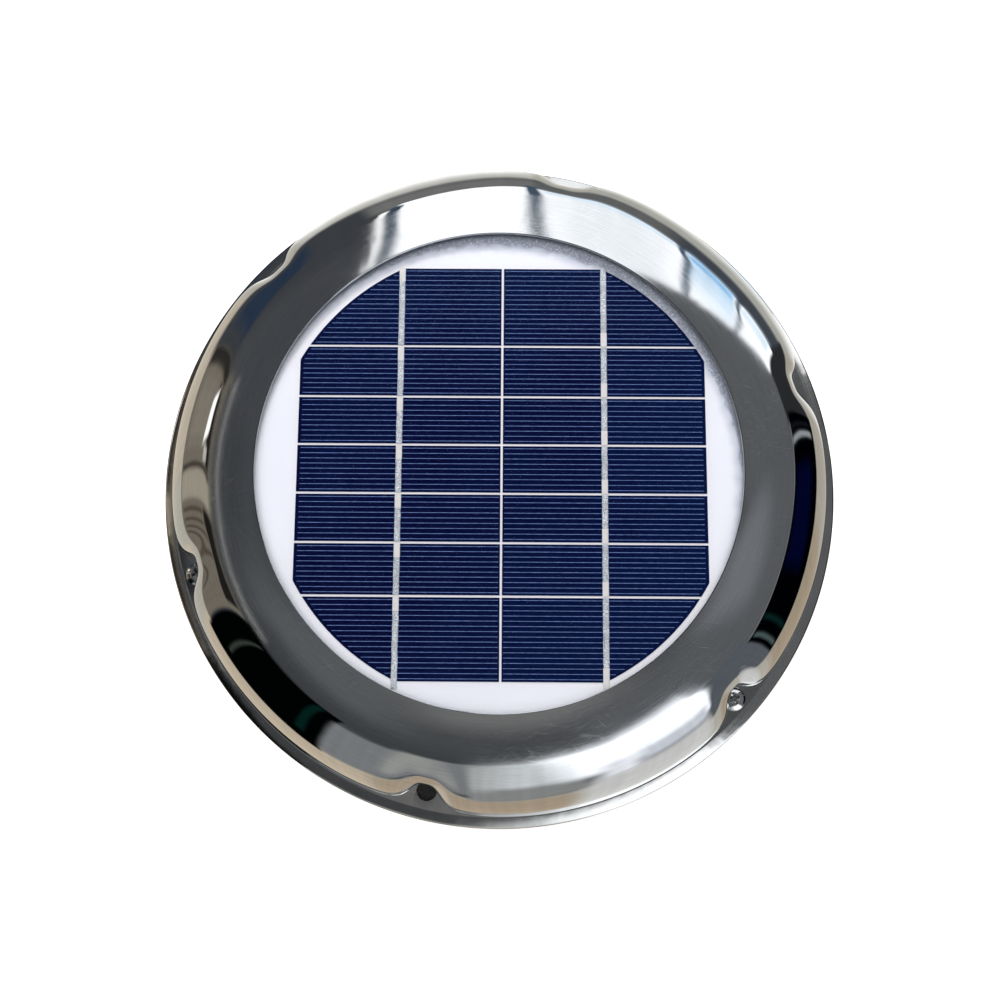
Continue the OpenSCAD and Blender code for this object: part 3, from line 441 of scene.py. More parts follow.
def backsheet():
    """White board with the faint weave of its glass cloth, and along one side a painted shadow of the cover's
    lip: a dark band with light specks of painted sparkle, and a softer painted shade that fades in towards
    it.
    """
    f = Finish("white_backsheet", (0.86, 0.875, 0.93), 0.55)
    weave = f.noise(1.0, 2.0, 0.5, f.placed((5200, 5200, 100)))
    wide = f.noise(22.0, 2.0)
    board = f.blend(f.span(wide, 0.3, 0.7), (0.87, 0.87, 0.90), (0.91, 0.91, 0.935))
    # Painted shadow and dark reflection of the cover's lip: an off-centre crescent, a soft painted shade
    # fading in, then a dark band with light specks of painted sparkle
    moved = f.vector("ADD", f.vector("MULTIPLY", f.coords, (1000.0, 1000.0, 0.0)), LIP_SHADE_SHIFT)
    reach = f.math("ADD", f.vector("LENGTH", moved), f.span(f.noise(240.0, 2.0), 0.3, 0.7, -0.5, 0.5))
    painted_soft_shade = f.span(reach, LIP_SHADE_R - LIP_SHADE_FADE, LIP_SHADE_R + 0.4, 0.0, 0.75)
    painted_lip_shadow = f.span(reach, LIP_SHADE_R - 0.5, LIP_SHADE_R + 0.9)
    painted_sparkle = f.span(f.noise(3400.0, 1.0), 0.54, 0.68)
    softly_shaded_board = f.blend(painted_soft_shade, board, (0.54, 0.58, 0.67))
    f.colour(f.blend(painted_lip_shadow, softly_shaded_board, f.blend(painted_sparkle, (0.32, 0.35, 0.41), (0.76, 0.80, 0.87))))
    f.bump(weave, 0.00004, 0.3)
    return f.material


def ribbon_metal():
    """Tinned ribbon under solder: bright, with fine lumps and dark spots in its tone."""
    f = Finish("tinned_ribbon", (0.72, 0.74, 0.73), 0.35, 0.12)
    lumps = f.noise(3200.0, 3.0, 0.65)
    marks = f.noise(1.0, 3.0, 0.7, f.placed((3200, 2400, 300)))
    wide = f.noise(350.0, 2.0)
    bright = f.blend(f.span(wide, 0.35, 0.65), (0.68, 0.72, 0.74), (0.93, 0.97, 1.0))
    f.colour(f.blend(f.span(marks, 0.38, 0.58), (0.22, 0.25, 0.27), bright))
    f.rough(f.span(lumps, 0.3, 0.7, 0.22, 0.5))
    f.bump(lumps, 0.0001, 0.5)
    return f.material


def finger_silver():
    """Printed silver of the contact fingers."""
    f = Finish("finger_silver", (0.20, 0.24, 0.44), 0.5, 0.0, Specular_IOR_Level=0.1)
    breaks = f.noise(1.0, 2.0, 0.6, f.placed((700, 2000, 100)))
    f.colour(f.blend(f.span(breaks, 0.3, 0.7), (0.09, 0.16, 0.36), (0.19, 0.28, 0.57)))
    return f.material


def pad_silver():
    """Bare end of a ribbon: smooth, pale and warm."""
    f = Finish("ribbon_end", (0.80, 0.78, 0.75), 0.45, 0.1)
    f.colour(f.blend(f.noise(600.0, 3.0), (0.70, 0.68, 0.64), (0.88, 0.86, 0.83)))
    f.bump(f.noise(2500.0, 2.0), 0.00005, 0.3)
    return f.material


FINISHES = {
    "stainless_cover": steel_cover(),
    "stainless_base": steel_base(),
    "stainless_screw": metal("stainless_screw", (0.76, 0.755, 0.74), 0.11, 900.0, 0.04, 0.05),
    "glazing": glazing(),
    "solar_cell": cell_silicon(),
    "tinned_ribbon": ribbon_metal(),
    "white_backsheet": backsheet(),
    "grey_gasket": plastic("grey_gasket", (0.10, 0.10, 0.105), 0.7, 2500.0, 0.00006),
    "foam_tape": foam("foam_tape", (0.02, 0.02, 0.02)),
    "white_plastic": plastic("white_plastic", (0.78, 0.78, 0.75), 0.42),
    "potting": plastic("potting", (0.03, 0.03, 0.03), 0.25, 500.0, 0.0001),
    "red_insulation": plastic("red_insulation", (0.55, 0.02, 0.015), 0.35),
    "black_insulation": plastic("black_insulation", (0.015, 0.015, 0.015), 0.35),
    "plated_steel": metal("plated_steel", (0.62, 0.61, 0.58), 0.3),
    "foam_gasket": foam("foam_gasket", (0.02, 0.02, 0.021)),
    "steel_mesh": metal("steel_mesh", (0.55, 0.55, 0.53), 0.3, 700.0),
    "black_plastic": plastic("black_plastic", (0.022, 0.022, 0.024), 0.4),
    "black_rubber": plastic("black_rubber", (0.028, 0.028, 0.029), 0.6, 2500.0),
    "motor_steel": metal("motor_steel", (0.60, 0.60, 0.58), 0.26),
    "natural_nylon": plastic("natural_nylon", (0.80, 0.78, 0.70), 0.45),
    "ferrite": plastic("ferrite", (0.04, 0.04, 0.043), 0.6),
    "bronze": metal("bronze", (0.55, 0.33, 0.16), 0.4),
    "carbon": plastic("carbon", (0.03, 0.03, 0.032), 0.5),
    "brass_terminal": metal("brass_terminal", (0.75, 0.58, 0.28), 0.28),
    "shaft_steel": metal("shaft_steel", (0.66, 0.66, 0.66), 0.14),
    "lamination_steel": metal("lamination_steel", (0.35, 0.35, 0.36), 0.42),
    "enamelled_copper": metal("enamelled_copper", (0.62, 0.24, 0.10), 0.3),
    "copper": metal("copper", (0.80, 0.42, 0.28), 0.28),
    "brass_insert": metal("brass_insert", (0.76, 0.60, 0.30), 0.3),
    "fan_plastic": plastic("fan_plastic", (0.020, 0.021, 0.023), 0.38, 1400.0),
}
SLOT_OF = {s["node"]: s["material_slot"] for s in frame["record"]["subparts"]}
for node, obj in NODES.items():
    for slot in obj.material_slots:
        slot.material = FINISHES[SLOT_OF[node]]

# ---- Pressed sheet: the cover and the base ----

HALF_STATIONS = 38
half = np.linspace(0, 1, HALF_STATIONS + 1) ** 1.5 * SECTOR / 2
IN_SECTOR = np.concatenate([-half[HALF_STATIONS - 1 : 0 : -1], half])
STATIONS = [(DENT_START + d * SECTOR + a, abs(a)) for d in range(DENTS) for a in IN_SECTOR]


def bell(angle, half_width):
    """1 at the middle of a dent, falling to 0 away from it."""
    return 1 / (1 + (angle / half_width) ** BELL_POWER)


def shoulder(share, run, low, power):
    """The shoulder's section: a superellipse down to low, dropped so that it leaves the ring at its slope."""
    across = np.sin(share * math.pi / 2) ** (2 / power)
    up = np.cos(share * math.pi / 2) ** (2 / power)
    z = low + (RING_Z - low) * up - SHOULDER_SLOPE * run * across * (1 - across)
    return np.stack([RING_R + run * across, z], axis=-1)


def cover_outline(angle):
    """The cover's outer skin from the lip, over the ring and the shoulder, to the skirt's edge."""
    share = np.linspace(0, 1, 31)
    width = DENT_SPREAD + (DENT_LOW - DENT_SPREAD) * share
    w = bell(angle, width)[:, None]
    run = SKIRT_R - RING_R
    power = PLAIN_POWER + PILLOW * math.cos(math.pi * angle / (SECTOR / 2))
    shape = shoulder(share, run, SKIRT_TOP, power) * (1 - w)
    shape += shoulder(share, run - DENT_DEPTH, DENT_TOP, DENT_POWER) * w
    foot = np.array([SKIRT_R - DENT_DEPTH * bell(angle, DENT_LOW), SKIRT_Z])
    lip = rounded([[WINDOW_R, COVER_Z - LIP_DROP], [WINDOW_R, COVER_Z], shape[0]], [LIP_ROUND])[:-1]
    ring = spread([lip[-1], shape[0]], 14)
    for k, point in enumerate(ring, 1):
        point[1] += RING_CROWN * 4 * k * (len(ring) + 1 - k) / (len(ring) + 1) ** 2
    wall = spread([shape[-1], foot], 5)
    return np.array([*lip, *ring, *shape, *wall, foot])


def base_outline(angle):
    """The base's upper skin from the hem, over the pad and the coaming, to the deck's inner edge."""
    foot = SKIRT_R + FOOT_OUT - (DENT_DEPTH + FOOT_EXTRA) * bell(angle, FOOT_WIDTH)
    top = COAMING_TOP_R - COAMING_TOP_DENT * bell(angle, DENT_HIGH)
    corners = [
        [FLANGE_R, 0], [FLANGE_R, FLANGE_Z - FLANGE_FALL], [FALL_START, FLANGE_Z],
        [foot - 0.4, FLANGE_Z], [top + 0.3, DECK_Z],
        [top - 3, DECK_Z], [DECK_INNER + 3, DECK_Z], [DECK_INNER, DECK_Z],
    ]
    return rounded(corners, [0.7, 0.12, 0.15, 1.2, 0.2, 0.2])


def skin(outline, thick):
    """A closed section: the outline, and the same moved in by the sheet's thickness, with rounded edges."""
    along = np.gradient(outline, axis=0)
    along /= np.linalg.norm(along, axis=1)[:, None]
    normal = np.stack([-along[:, 1], along[:, 0]], axis=-1)
    inner = outline - normal * thick
    ends = []
    for k, way in ((-1, 1), (0, -1)):
        middle = (outline[k] + inner[k]) / 2
        out = along[k] * way * thick / 2
        side = (outline[k] - inner[k]) / 2 * way
        turns = np.radians([60, 30, 0, -30, -60])
        ends.append([middle + out * (math.cos(t) - 1) + side * math.sin(t) for t in turns])
    return np.array([*outline[:-1], *ends[0], *inner[1:-1][::-1], *ends[1]])


def pressed(name, outline_at, flip=False):
    """A ring of sheet swept once round through the sections at all the stations."""
    rows = []
    for turn, angle in STATIONS:
        outline = outline_at(angle)
        section = skin(outline[::-1] if flip else outline, SHEET)
        t = math.radians(turn)
        rows.append(
            np.stack([section[:, 0] * math.cos(t), section[:, 0] * math.sin(t), section[:, 1]], axis=-1)
        )
    rows = np.array(rows)
    n, m = rows.shape[:2]
    return make_mesh(name, rows.reshape(-1, 3), grid_faces(n, m, True, True), 40)


def drill(x, y, radius):
    """A cutter for a hole through the base, taller than the base is thick."""
    low, high = -1, 12
    return lathe([(0, low), (radius, low), (radius, high), (0, high)], 48, (x, y, 0))


def at(radius, turn):
    return radius * math.cos(math.radians(turn)), radius * math.sin(math.radians(turn))


def around(count, radius, start):
    """Evenly spaced (x, y) places on a circle."""
    return [at(radius, start + k * 360 / count) for k in range(count)]


make_piece(
    "pressed_cover", pressed("pressed_cover", cover_outline),
    FINISHES["stainless_cover"], HOUSING, "stainless_cover", "cover_shell",
)

holes = [
    drill(*place, radius)
    for radius, circle, start in (
        (ROOF_HOLE_R, ROOF_PCR, DENT_START),
        (TRIM_HOLE_R, TRIM_PCR, DENT_START + SECTOR),
        (STANDOFF_HOLE_R, STANDOFF_PCR, DENT_START + SECTOR / 2),
    )
    for place in around(FIXINGS, circle, start)
]
base = cut(pressed("pressed_base", base_outline, True), make_mesh("holes", *join(holes)), 40)
make_piece("pressed_base", base, FINISHES["stainless_base"], HOUSING, "stainless_base", "base_plate")

# ---- Screws ----


def cross_recess(reach, width, top, floor):
    """A plus-shaped tapered plug, as the cutter for a cross recess."""
    a, b = reach, width
    plus = [
        (a, -b), (a, b), (b, b), (b, a), (-b, a), (-b, b),
        (-a, b), (-a, -b), (-b, -b), (-b, -a), (b, -a), (b, -b),
    ]
    points = []
    for z, k in ((floor, 0.55), (top, 1.15)):
        points += [(x * k, y * k, z) for x, y in plus]
    n = len(plus)
    faces = [[i, (i + 1) % n, n + (i + 1) % n, n + i] for i in range(n)]
    faces += [list(range(n))[::-1], list(range(n, 2 * n))]
    return points, faces


HEAD_R, HEAD_H, SHANK_R, SHANK_L, HEAD_TURN, HEAD_SHARP = 3.7, 2.3, 1.7, 2.8, 25, 38


def pan_screws(name, places, top):
    """Domed pan heads with a cross recess, standing on top, with their shanks below."""
    work = bmesh.new()
    turned = Matrix.Rotation(math.radians(HEAD_TURN), 4, "Z")
    for x, y in places:
        dome = [
            (HEAD_R * math.cos(t), HEAD_H * (0.42 + 0.58 * math.sin(t)))
            for t in np.linspace(0, math.pi / 2, 14)
        ]
        outline = [(0, -SHANK_L), (SHANK_R * 0.8, -SHANK_L), (SHANK_R, 0.5 - SHANK_L), (SHANK_R, 0)]
        outline += [(HEAD_R * 0.97, 0), (HEAD_R, 0.12), *dome[:-1], (0, HEAD_H)]
        head = make_mesh("head", *lathe(outline, 72), 50)
        recess = cross_recess(HEAD_R * 0.5, HEAD_R * 0.11, HEAD_H * 1.2, HEAD_H * 0.2)
        screw = cut(head, make_mesh("plug", *recess, 20), HEAD_SHARP)
        screw.transform(Matrix.Translation((x * MM, y * MM, top * MM)) @ turned)
        work.from_mesh(screw)
        bpy.data.meshes.remove(screw)
    joined = bpy.data.meshes.new(name)
    work.to_mesh(joined)
    work.free()
    joined.shade_smooth()
    joined.set_sharp_from_angle(angle=math.radians(HEAD_SHARP))
    return joined


make_piece(
    "trim_pan_screws",
    pan_screws("trim_pan_screws", around(FIXINGS, TRIM_PCR, DENT_START + SECTOR), FLANGE_Z),
    FINISHES["stainless_screw"], HOUSING, "stainless_screw", "trim_screws",
)

# ---- Painted shade in the roof holes: thin dark foam discs under the holes stand in for the shade below the base ----

SHADE_DISC_R, SHADE_DISC_T, SHADE_DISC_DISH, SHADE_DISC_DROP = 3.5, 0.5, 0.5, 0.4


def shade_discs(places, top):
    """Closed discs, dished towards the middle, that paint the shade seen through the roof holes."""
    rim = [(0, top - SHADE_DISC_DISH), (SHADE_DISC_R * 0.5, top - SHADE_DISC_DISH * 0.7), (SHADE_DISC_R, top)]
    outline = [(r, z - SHADE_DISC_T) for r, z in rim] + rim[::-1]
    return join([lathe(outline, 32, (x, y, 0)) for x, y in places])


# Painted shade: the discs sit just under the gasket's top, so the roof holes show dark foam in place of the
# shade below
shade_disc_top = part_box("deck_gasket")[1][2] / MM - SHADE_DISC_DROP
make_piece(
    "painted_hole_shade",
    make_mesh("painted_hole_shade", *shade_discs(around(FIXINGS, ROOF_PCR, DENT_START), shade_disc_top), 30),
    FINISHES["foam_gasket"], HOUSING, "foam_gasket",
)

# ---- Solar cells: fingers and ribbons ----

FINGER_PITCH, FINGER_W, FINGER_H = 1.56, 0.17, 0.02
OUTER_INSET, CENTRE_INSET = 1.0, 0.45


def finger_strips():
    """The fingers as (x from, x to, y), from the middle of the array."""
    strips = []
    for low, high in ROWS:
        low, high = low + CELL_GAP / 2, high - CELL_GAP / 2
        count = round((high - low) / FINGER_PITCH)
        for k in range(count):
            y = low + (k + 0.5) * (high - low) / count
            reach = min(ARRAY_W - CELL_GAP / 2, math.sqrt(ARRAY_TRIM**2 - (abs(y) + FINGER_W) ** 2))
            for side in (-1, 1):
                ends = sorted((side * (CELL_GAP / 2 + CENTRE_INSET), side * (reach - OUTER_INSET)))
                strips.append((*ends, y))
    return strips


def box(x0, x1, y0, y1, z0, z1):
    points = [(x, y, z) for z in (z0, z1) for x, y in ((x0, y0), (x1, y0), (x1, y1), (x0, y1))]
    faces = [[0, 3, 2, 1], [4, 5, 6, 7], [0, 1, 5, 4], [1, 2, 6, 5], [2, 3, 7, 6], [3, 0, 4, 7]]
    return points, faces


fingers = [
    box(
        ARRAY_X + x0, ARRAY_X + x1, ARRAY_Y + y - FINGER_W / 2, ARRAY_Y + y + FINGER_W / 2,
        CELL_TOP - 0.01, CELL_TOP + FINGER_H,
    )
    for x0, x1, y in finger_strips()
]
make_piece(
    "contact_fingers", make_mesh("contact_fingers", *join(fingers)), finger_silver(), HOUSING, "tinned_ribbon"
)

BARE, BARE_GAP, BARE_REACH = 4.2, 0.05, 0.25
BARE_SHAPE = (RIBBON_W * 1.04, 0.25, 0.12)
STRIP_STEP = 0.22


def strip(x, y0, y1, width=RIBBON_W, lumps=1.0, height=0.16):
    """A ribbon lying on the cells, crowned and with lumps of solder on top."""
    count = max(int((y1 - y0) / STRIP_STEP), 2)
    sections = []
    for y in np.linspace(y0, y1, count + 1):
        shift = 0.10 * lumps * noise.noise((x * 0.31, y * 0.35, 4.0))
        grow = 1 + 0.07 * lumps * noise.noise((x, y * 0.8, 9.0))
        section = []
        for u in np.linspace(-1, 1, 9):
            crown = (1 - abs(u) ** 4) ** 0.5
            bump = lumps * 0.55 * noise.noise((x + u * 1.1, y * 1.15, 2.0))
            bump += lumps * 0.30 * noise.noise((x + u * 2.6, y * 2.7, 7.0))
            top = CELL_TOP + 0.01 + height * crown * (1 + bump)
            section.append((x + shift + u * width / 2 * grow, y, top))
        section += [(x + shift + u * width / 2 * grow, y, CELL_TOP - 0.01) for u in (1, -1)]
        sections.append(section)
    return tube(sections)


soldered, bare = [], []
for side in (-1, 1):
    x = ARRAY_X + side * ARRAY_W / 2
    for k, (low, high) in enumerate(ROWS):
        low, high = ARRAY_Y + low + CELL_GAP / 2, ARRAY_Y + high - CELL_GAP / 2
        start = ARRAY_Y + ROWS[0][0] - RIBBON_TAIL if k == 0 else low
        if side < 0:
            soldered.append(strip(x, start, high - BARE))
            bare.append(strip(x, high - BARE + BARE_GAP, high + BARE_REACH, *BARE_SHAPE))
        else:
            bare.append(strip(x, low - BARE_REACH if k else start, low + BARE, *BARE_SHAPE))
            soldered.append(strip(x, low + BARE + BARE_GAP, high))
make_piece(
    "solder_ribbons", make_mesh("solder_ribbons", *join(soldered), 60),
    FINISHES["tinned_ribbon"], HOUSING, "tinned_ribbon", "tabbing_ribbons",
)
make_piece("ribbon_ends", make_mesh("ribbon_ends", *join(bare), 60), pad_silver(), HOUSING, "tinned_ribbon")

# ---- Fan wheel ----

BLADE_WIDTH, BLADE_FLARE = 10.5, 19.5
BLADE_PITCH, BLADE_TWIST, BLADE_SWEEP = 38, 19, 12
BLADE_Z, BLADE_CAMBER, BLADE_HALF_T = -3, 1.6, 0.7
SPANS, CHORDS, TIP_START = 26, 22, 0.86


def blade_point(span, chord, side):
    """A point of the blade's upper (side 1) or lower (side -1) face; span and chord go from 0 to 1."""
    r = BLADE_ROOT + (FAN_R - BLADE_ROOT) * span
    width = BLADE_WIDTH + BLADE_FLARE * span
    pitch = math.radians(BLADE_PITCH - BLADE_TWIST * span)
    along = (chord - 0.5) * width
    turn = along * math.cos(pitch) / r + math.radians(BLADE_SWEEP) * span * span
    bulge = 4 * chord * (1 - chord)
    edge = 0.18 + 0.82 * min(1, (bulge * 3.2)) ** 0.5
    z = BLADE_Z + along * math.sin(pitch) + BLADE_CAMBER * bulge
    z += side * BLADE_HALF_T * edge * (1 - 0.25 * span)
    return r * math.cos(turn), r * math.sin(turn), z


def blade(turn):
    """A closed blade that narrows a little at the tip."""
    sections = []
    for i in range(SPANS + 1):
        span = 1 - (1 - i / SPANS) ** 1.15
        inset = 0.06 * max(0.0, (span - TIP_START) / (1 - TIP_START)) ** 2
        share = [
            inset + (1 - 2 * inset) * 0.5 * (1 - math.cos(math.pi * j / CHORDS))
            for j in range(CHORDS + 1)
        ]
        loop = [blade_point(span, c, 1) for c in share] + [blade_point(span, c, -1) for c in share[::-1]]
        sections.append(loop)
    points, faces = tube(sections)
    t = math.radians(turn)
    points = [
        (x * math.cos(t) - y * math.sin(t), x * math.sin(t) + y * math.cos(t), z) for x, y, z in points
    ]
    return points, faces


def hub():
    outline = rounded(
        [
            [0.001, -10], [HUB_R, -10], [HUB_R, 3.6], [HUB_R - 1.5, 3.6], [HUB_R - 1.5, -8.5],
            [4, -8.5], [4, 1], [2.5, 1], [2.5, -7], [0.001, -7],
        ],
        [3.0, 0.4, 0.4, 0.6, 0.6, 0.3, 0.2, 0.2],
    )
    return lathe([tuple(p) for p in outline], 96)


make_piece(
    "fan_wheel",
    make_mesh("fan_wheel", *join([hub()] + [blade(k * 360 / BLADES) for k in range(BLADES)]), 40),
    FINISHES["fan_plastic"], ROTOR, "fan_plastic", "impeller",
)

# ---- Insect screen: woven wires in a pressed rim ----

WIRE_PITCH, WIRE_R = 2.0, 0.17
RIM_OUT, RIM_IN, RIM_SIDES = DUCT_R - 0.1, DUCT_R - 2.1, 160


def woven_wire(offset, flat, across):
    """One wire of the screen along X, or along Y if across, that goes over and under its neighbours."""
    half_length = math.sqrt((DUCT_R - 0.9) ** 2 - offset**2)
    count = int(2 * half_length / (WIRE_PITCH / 4))
    number = round(offset / WIRE_PITCH)
    sections = []
    for s in np.linspace(-half_length, half_length, count + 1):
        lift = math.cos(math.pi * (s / WIRE_PITCH + number)) * WIRE_R * 0.95 * (1 if across else -1)
        z = flat + lift
        ring = [(math.cos(a) * WIRE_R, math.sin(a) * WIRE_R) for a in (0.785, 2.356, 3.927, 5.498)]
        if across:
            sections.append([(offset + p, s, z + q) for p, q in ring])
        else:
            sections.append([(s, offset + p, z + q) for p, q in ring])
    return tube(sections)


reach = int((DUCT_R - 1.2) / WIRE_PITCH)
wires = [
    woven_wire(k * WIRE_PITCH, SCREEN_Z + SCREEN_T / 2, across)
    for across in (False, True)
    for k in range(-reach, reach + 1)
]
rim = rounded(
    [
        [RIM_OUT, SCREEN_Z + 0.3], [RIM_OUT, SCREEN_Z + SCREEN_T], [RIM_IN, SCREEN_Z + SCREEN_T],
        [RIM_IN, SCREEN_Z], [RIM_OUT, SCREEN_Z], [RIM_OUT, SCREEN_Z + 0.28],
    ],
    [0.12, 0.2, 0.2, 0.12], 3,
)
turns = np.arange(RIM_SIDES) * 2 * math.pi / RIM_SIDES
rim_points = [(r * math.cos(t), r * math.sin(t), z) for t in turns for r, z in rim]
rim_part = (rim_points, grid_faces(RIM_SIDES, len(rim), True, True))
make_piece(
    "woven_screen", make_mesh("woven_screen", *join(wires + [rim_part]), 50),
    FINISHES["steel_mesh"], HOUSING, "steel_mesh", "insect_screen",
)

# ---- Stage: floor, room, lights and camera ----


def glowing(name, attribute):
    """A material that gives off the colour in a mesh attribute, and isn't sampled as a lamp."""
    material = bpy.data.materials.new(name)
    material.use_nodes = True
    tree = material.node_tree
    tree.nodes.clear()
    out, glow, tint = [
        tree.nodes.new("ShaderNode" + kind) for kind in ("OutputMaterial", "Emission", "Attribute")
    ]
    tint.attribute_name = attribute
    tree.links.new(tint.outputs["Color"], glow.inputs["Color"])
    tree.links.new(glow.outputs[0], out.inputs["Surface"])
    material.cycles.emission_sampling = "NONE"
    return material


def stage_mesh(name, points, faces, material):
    mesh = bpy.data.meshes.new(name)
    mesh.from_pydata(points, [], faces)
    thing = bpy.data.objects.new(name, mesh)
    bpy.context.scene.collection.objects.link(thing)
    mesh.materials.append(material)
    return thing


def only_in_gloss(thing):
    """Makes a thing show in glossy surfaces and light nothing else."""
    thing.visible_camera = thing.visible_diffuse = thing.visible_transmission = False
    thing.visible_shadow = thing.visible_volume_scatter = False


FLOOR_Z, FLOOR_RADIUS, FLOOR_SIDES = -SPIGOT_DEPTH * MM - 0.0002, 2.0, 96


def disc(radius, z, sides):
    turns = np.arange(sides) * 2 * math.pi / sides
    points = [(r * math.cos(t), r * math.sin(t), z) for t in turns for r in (0.0, radius)]
    return points, grid_faces(sides, 2, wrap_n=True)


floor_finish = Finish("pale_floor", (0.90, 0.895, 0.885), 0.8)
floor_finish.colour(
    floor_finish.blend(floor_finish.noise(8.0, 3.0), (0.89, 0.885, 0.875), (0.91, 0.905, 0.90))
)
floor_finish.bsdf.inputs["Emission Color"].default_value = (1, 1, 1, 1)
floor_finish.bsdf.inputs["Emission Strength"].default_value = 0.5
# Seen from below, the floor is clear
from_below = floor_finish.node("ShaderNodeMixShader")
floor_finish.feed(from_below.inputs[0], floor_finish.node("ShaderNodeNewGeometry").outputs["Backfacing"])
floor_finish.feed(from_below.inputs[1], floor_finish.bsdf.outputs[0])
floor_finish.feed(from_below.inputs[2], floor_finish.node("ShaderNodeBsdfTransparent").outputs[0])
floor_finish.feed(floor_finish.out.inputs["Surface"], from_below.outputs[0])
floor = stage_mesh("floor", *disc(FLOOR_RADIUS, FLOOR_Z, FLOOR_SIDES), floor_finish.material)
floor.visible_glossy = False


# The room that the polished steel reflects, as seen from the part: directions in degrees from +X
# and above the horizon. Tones are on a scale where 255 is white on the steel, and more is glare.
STEEL_SHARE = 0.62
ROOM_RADIUS = 3.0
ROOM_STEP = 0.5


def rise(value, edge, soft):
    """0 below the edge and 1 above it, over a soft width."""
    t = np.clip((value - edge) / soft + 0.5, 0, 1)
    return t * t * (3 - 2 * t)


class Room:
    """A dome of colours on a grid of directions, painted patch by patch."""

    def __init__(self, base):
        self.az, self.el = np.meshgrid(
            np.arange(0, 360, ROOM_STEP), np.arange(-90, 90.1, ROOM_STEP), indexing="ij"
        )
        self.light = np.ones((*self.az.shape, 3)) * self.emission(base)

    def emission(self, tone):
        """The light that the steel shows as a tone."""
        return (np.array(tone) / 255.0) ** 2.2 / STEEL_SHARE

    def patch(self, az, el, tone, soft, lean=0.0, slope=0.0):
        """Paints a patch of azimuth by elevation, with soft edges. Lean moves its sides with the
        elevation, and slope moves its top and bottom with the azimuth."""
        middle_az, middle_el = (az[0] + az[1]) / 2, (el[0] + el[1]) / 2
        across = (self.az - middle_az + 180) % 360 - 180
        over = self.el - middle_el
        u = across - lean * over
        v = over - slope * across
        half_az, half_el = (az[1] - az[0]) / 2, (el[1] - el[0]) / 2
        mask = rise(u, -half_az, soft[0]) * rise(-u, -half_az, soft[0])
        mask = mask * rise(v, -half_el, soft[1]) * rise(-v, -half_el, soft[1])
        self.light += (self.emission(tone) - self.light) * mask[..., None]

    def streaks(self, amount, width, low, high):
        """Upright bands a few degrees wide, lighter and darker by turns."""
        turn = np.radians(self.az[:, 0])
        places = [Vector((math.cos(a), math.sin(a), 0.0)) * 57.3 / width for a in turn]
        waves = np.array([noise.noise(place) for place in places])[:, None]
        share = rise(self.el, low, 4) * rise(-self.el, -high, 4)
        self.light *= (1 + amount * waves * share)[..., None]

    def build(self, name):
        """The dome as a stage mesh whose points carry their light."""
        a, e = np.radians(self.az), np.radians(self.el)
        points = np.stack([np.cos(e) * np.cos(a), np.cos(e) * np.sin(a), np.sin(e)], axis=-1)
        n, m = self.az.shape
        points = (points.reshape(-1, 3) * ROOM_RADIUS).tolist()
        thing = stage_mesh(name, points, grid_faces(n, m, wrap_n=True), glowing(name, "light"))
        layer = thing.data.attributes.new("light", "FLOAT_COLOR", "POINT")
        colours = np.concatenate([self.light, np.ones((n, m, 1))], axis=-1)
        layer.data.foreach_set("color", colours.astype(np.float32).ravel())
        only_in_gloss(thing)
        return thing


room = Room((70, 72, 74))
# Ceiling: grey, with slow shifts of tone, dark where only the panel would show it
room.patch((200, 330), (74, 110), (108, 108, 108), (50, 14))
room.patch((295, 385), (20, 74), (86, 88, 91), (24, 16))
room.patch((348, 378), (56, 72), (108, 110, 114), (14, 10))
room.patch((96, 156), (46, 64), (66, 68, 72), (16, 14))
room.patch((150, 196), (50, 63), (62, 64, 67), (16, 10))
room.patch((180, 238), (58, 82), (86, 88, 90), (30, 14))
room.patch((195, 262), (44, 60), (62, 64, 66), (10, 10))
room.patch((0, 360), (85, 100), (24, 26, 30), (4, 3))
# Floor: pale and warm, palest in front of the window
room.patch((0, 360), (-100, -17), (166, 162, 152), (4, 8))
room.patch((194, 244), (-100, -16), (178, 165, 146), (8, 6))
room.patch((244, 290), (-100, -19), (156, 142, 123), (12, 8))
room.patch((288, 322), (-100, -8), (192, 192, 190), (8, 12))
room.patch((334, 364), (-100, -18), (152, 139, 120), (10, 6))
room.patch((4, 34), (-100, -18), (158, 152, 141), (12, 6))
room.patch((30, 80), (-100, -12), (160, 160, 153), (8, 10))
room.patch((84, 126), (-100, -16), (182, 181, 176), (8, 18))
room.patch((28, 80), (-100, -36), (206, 205, 200), (10, 24))
room.patch((86, 122), (-100, -32), (232, 230, 226), (10, 24))
room.patch((134, 168), (-100, -20), (176, 166, 150), (8, 8))
# Under the window, and the dark corners beside it
room.patch((22, 35), (-18, 36), (44, 45, 47), (2, 6))
room.patch((34, 62), (-13, 12.5), (66, 70, 77), (3, 12))
room.patch((60, 86), (-11, 12.5), (94, 95, 95), (6, 12))
room.patch((84, 116), (-10, 16), (108, 108, 107), (4, 14))
room.patch((112, 148), (-18, 42), (60, 62, 66), (3, 12), 0.0, -0.3)
room.patch((125, 142), (-6, 34), (42, 54, 70), (5, 10))
